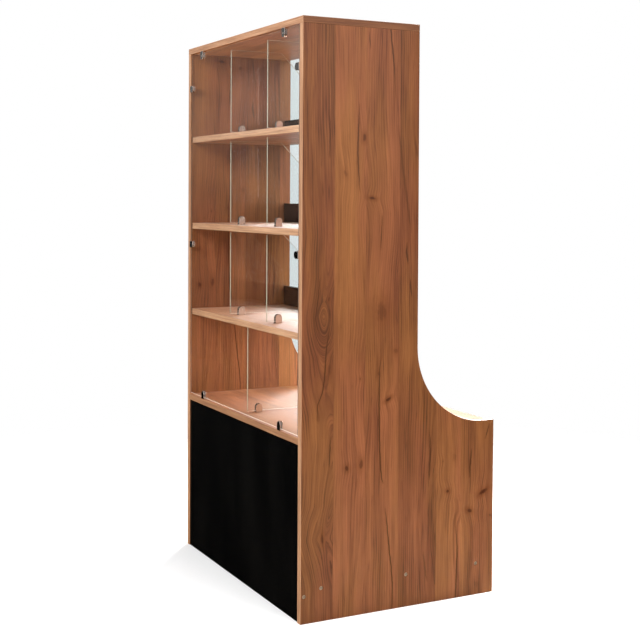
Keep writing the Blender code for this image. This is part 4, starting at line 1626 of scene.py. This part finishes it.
make_dark_card("front_card", (-3.6, -2.0, 0.4), (QUARTER, 0, 0), (5.6, 6.0), pale=0.12)
make_dark_card("side_card", (3.4, 3.2, -1.9), (QUARTER, 0, -QUARTER / 2), (6.0, 6.0))
make_dark_card("rear_card", (0.3675, 0.12, 1.28), (QUARTER, 0, 0), (0.335, 0.60))
floor_card = make_dark_card("floor_card", (0.0, 0.0, -0.01), (0, 0, 0), (9.0, 9.0))
floor_card.visible_transmission = False
make_world()

# %% [markdown]
# ## Lamps
# The photograph has soft light from the front right and above, and a strong one behind that floods the
# open shelves. Soft boxes do that: area lamps, each turned towards a spot on the case and never seen by
# the camera. Four stand behind, because the shelves are lit from above, level with them and from below,
# and a small one fills the dark corner over the deck. Only the sheen box shows in gloss, where it
# whitens the wiped shelves.

# %% Lamps
def soft_box(name, spot, aim, size, power, spread=180, gloss=False):
    put_down()
    bpy.ops.object.light_add(type="AREA", location=spot)
    lamp = bpy.context.object
    lamp.name = name
    lamp.data.shape = "RECTANGLE"
    lamp.data.size, lamp.data.size_y = size
    lamp.data.energy = power
    lamp.data.spread = math.radians(spread)
    lamp.rotation_euler = (Vector(aim) - Vector(spot)).to_track_quat("-Z", "Y").to_euler()
    lamp.visible_camera = False
    lamp.visible_glossy = gloss
    lamp.visible_transmission = False


soft_box("front_soft_box", (1.3, -3.2, 2.7), (0.0, -0.2, 1.0), size=(2.2, 1.6), power=175)
soft_box("side_soft_box", (3.6, 0.8, 2.8), (0.4, 0.0, 1.1), size=(2.0, 1.4), power=23.3, spread=80)
soft_box("rear_soft_box", (0.0, 3.0, 2.7), (0.0, 0.0, 0.9), size=(0.8, 2.0), power=79, spread=70)
soft_box("low_rear_soft_box", (0.0, 3.0, 1.2), (0.0, 0.1, 1.0), size=(0.8, 1.4), power=24, spread=50)
soft_box("under_rear_soft_box", (0.0, 3.0, 0.35), (0.0, 0.0, 1.25), size=(0.8, 0.6), power=44, spread=60)
soft_box(
    "deck_soft_box", (-0.15, 0.40, 0.535), (-0.39, -0.05, 0.60), size=(0.20, 0.08), power=1.2, spread=90
)
soft_box(
    "sheen_soft_box", (-2.2, 2.4, 2.75), (0.0, 0.0, 0.8), size=(2.0, 1.6), power=104, spread=80, gloss=True
)
soft_box("top_soft_box", (0.0, 0.0, 4.5), (0.0, 0.0, 0.0), size=(5.0, 5.0), power=175)

# %% [markdown]
# ## The camera
# The camera stands where the photographer stood: to the right of the case and a little in front, at
# chest height, with a longish lens. Tilting it down would make the uprights lean, so it looks nearly
# level and the frame is shifted down instead.

# %% Camera
CAMERA_SPOT = (3.15886, -1.65379, 1.10256)
CAMERA_HEADING = math.radians(62.920)
CAMERA_TILT = math.radians(-0.983)
CAMERA_ROLL = math.radians(0.295)
CAMERA_LENS = 67.33
CAMERA_SENSOR = 36.0
CAMERA_SHIFT = -0.1596

put_down()
bpy.ops.object.camera_add(location=CAMERA_SPOT)
camera = bpy.context.object
camera.name = "shop_camera"
aim = Matrix.Rotation(CAMERA_HEADING, 4, "Z") @ Matrix.Rotation(QUARTER + CAMERA_TILT, 4, "X")
aim = aim @ Matrix.Rotation(CAMERA_ROLL, 4, "Z")
camera.rotation_euler = aim.to_euler()
camera.data.lens = CAMERA_LENS
camera.data.sensor_width = CAMERA_SENSOR
camera.data.shift_y = CAMERA_SHIFT
bpy.context.scene.camera = camera
bpy.context.scene.view_settings.view_transform = "Standard"
print("camera at", [round(part, 2) for part in CAMERA_SPOT])
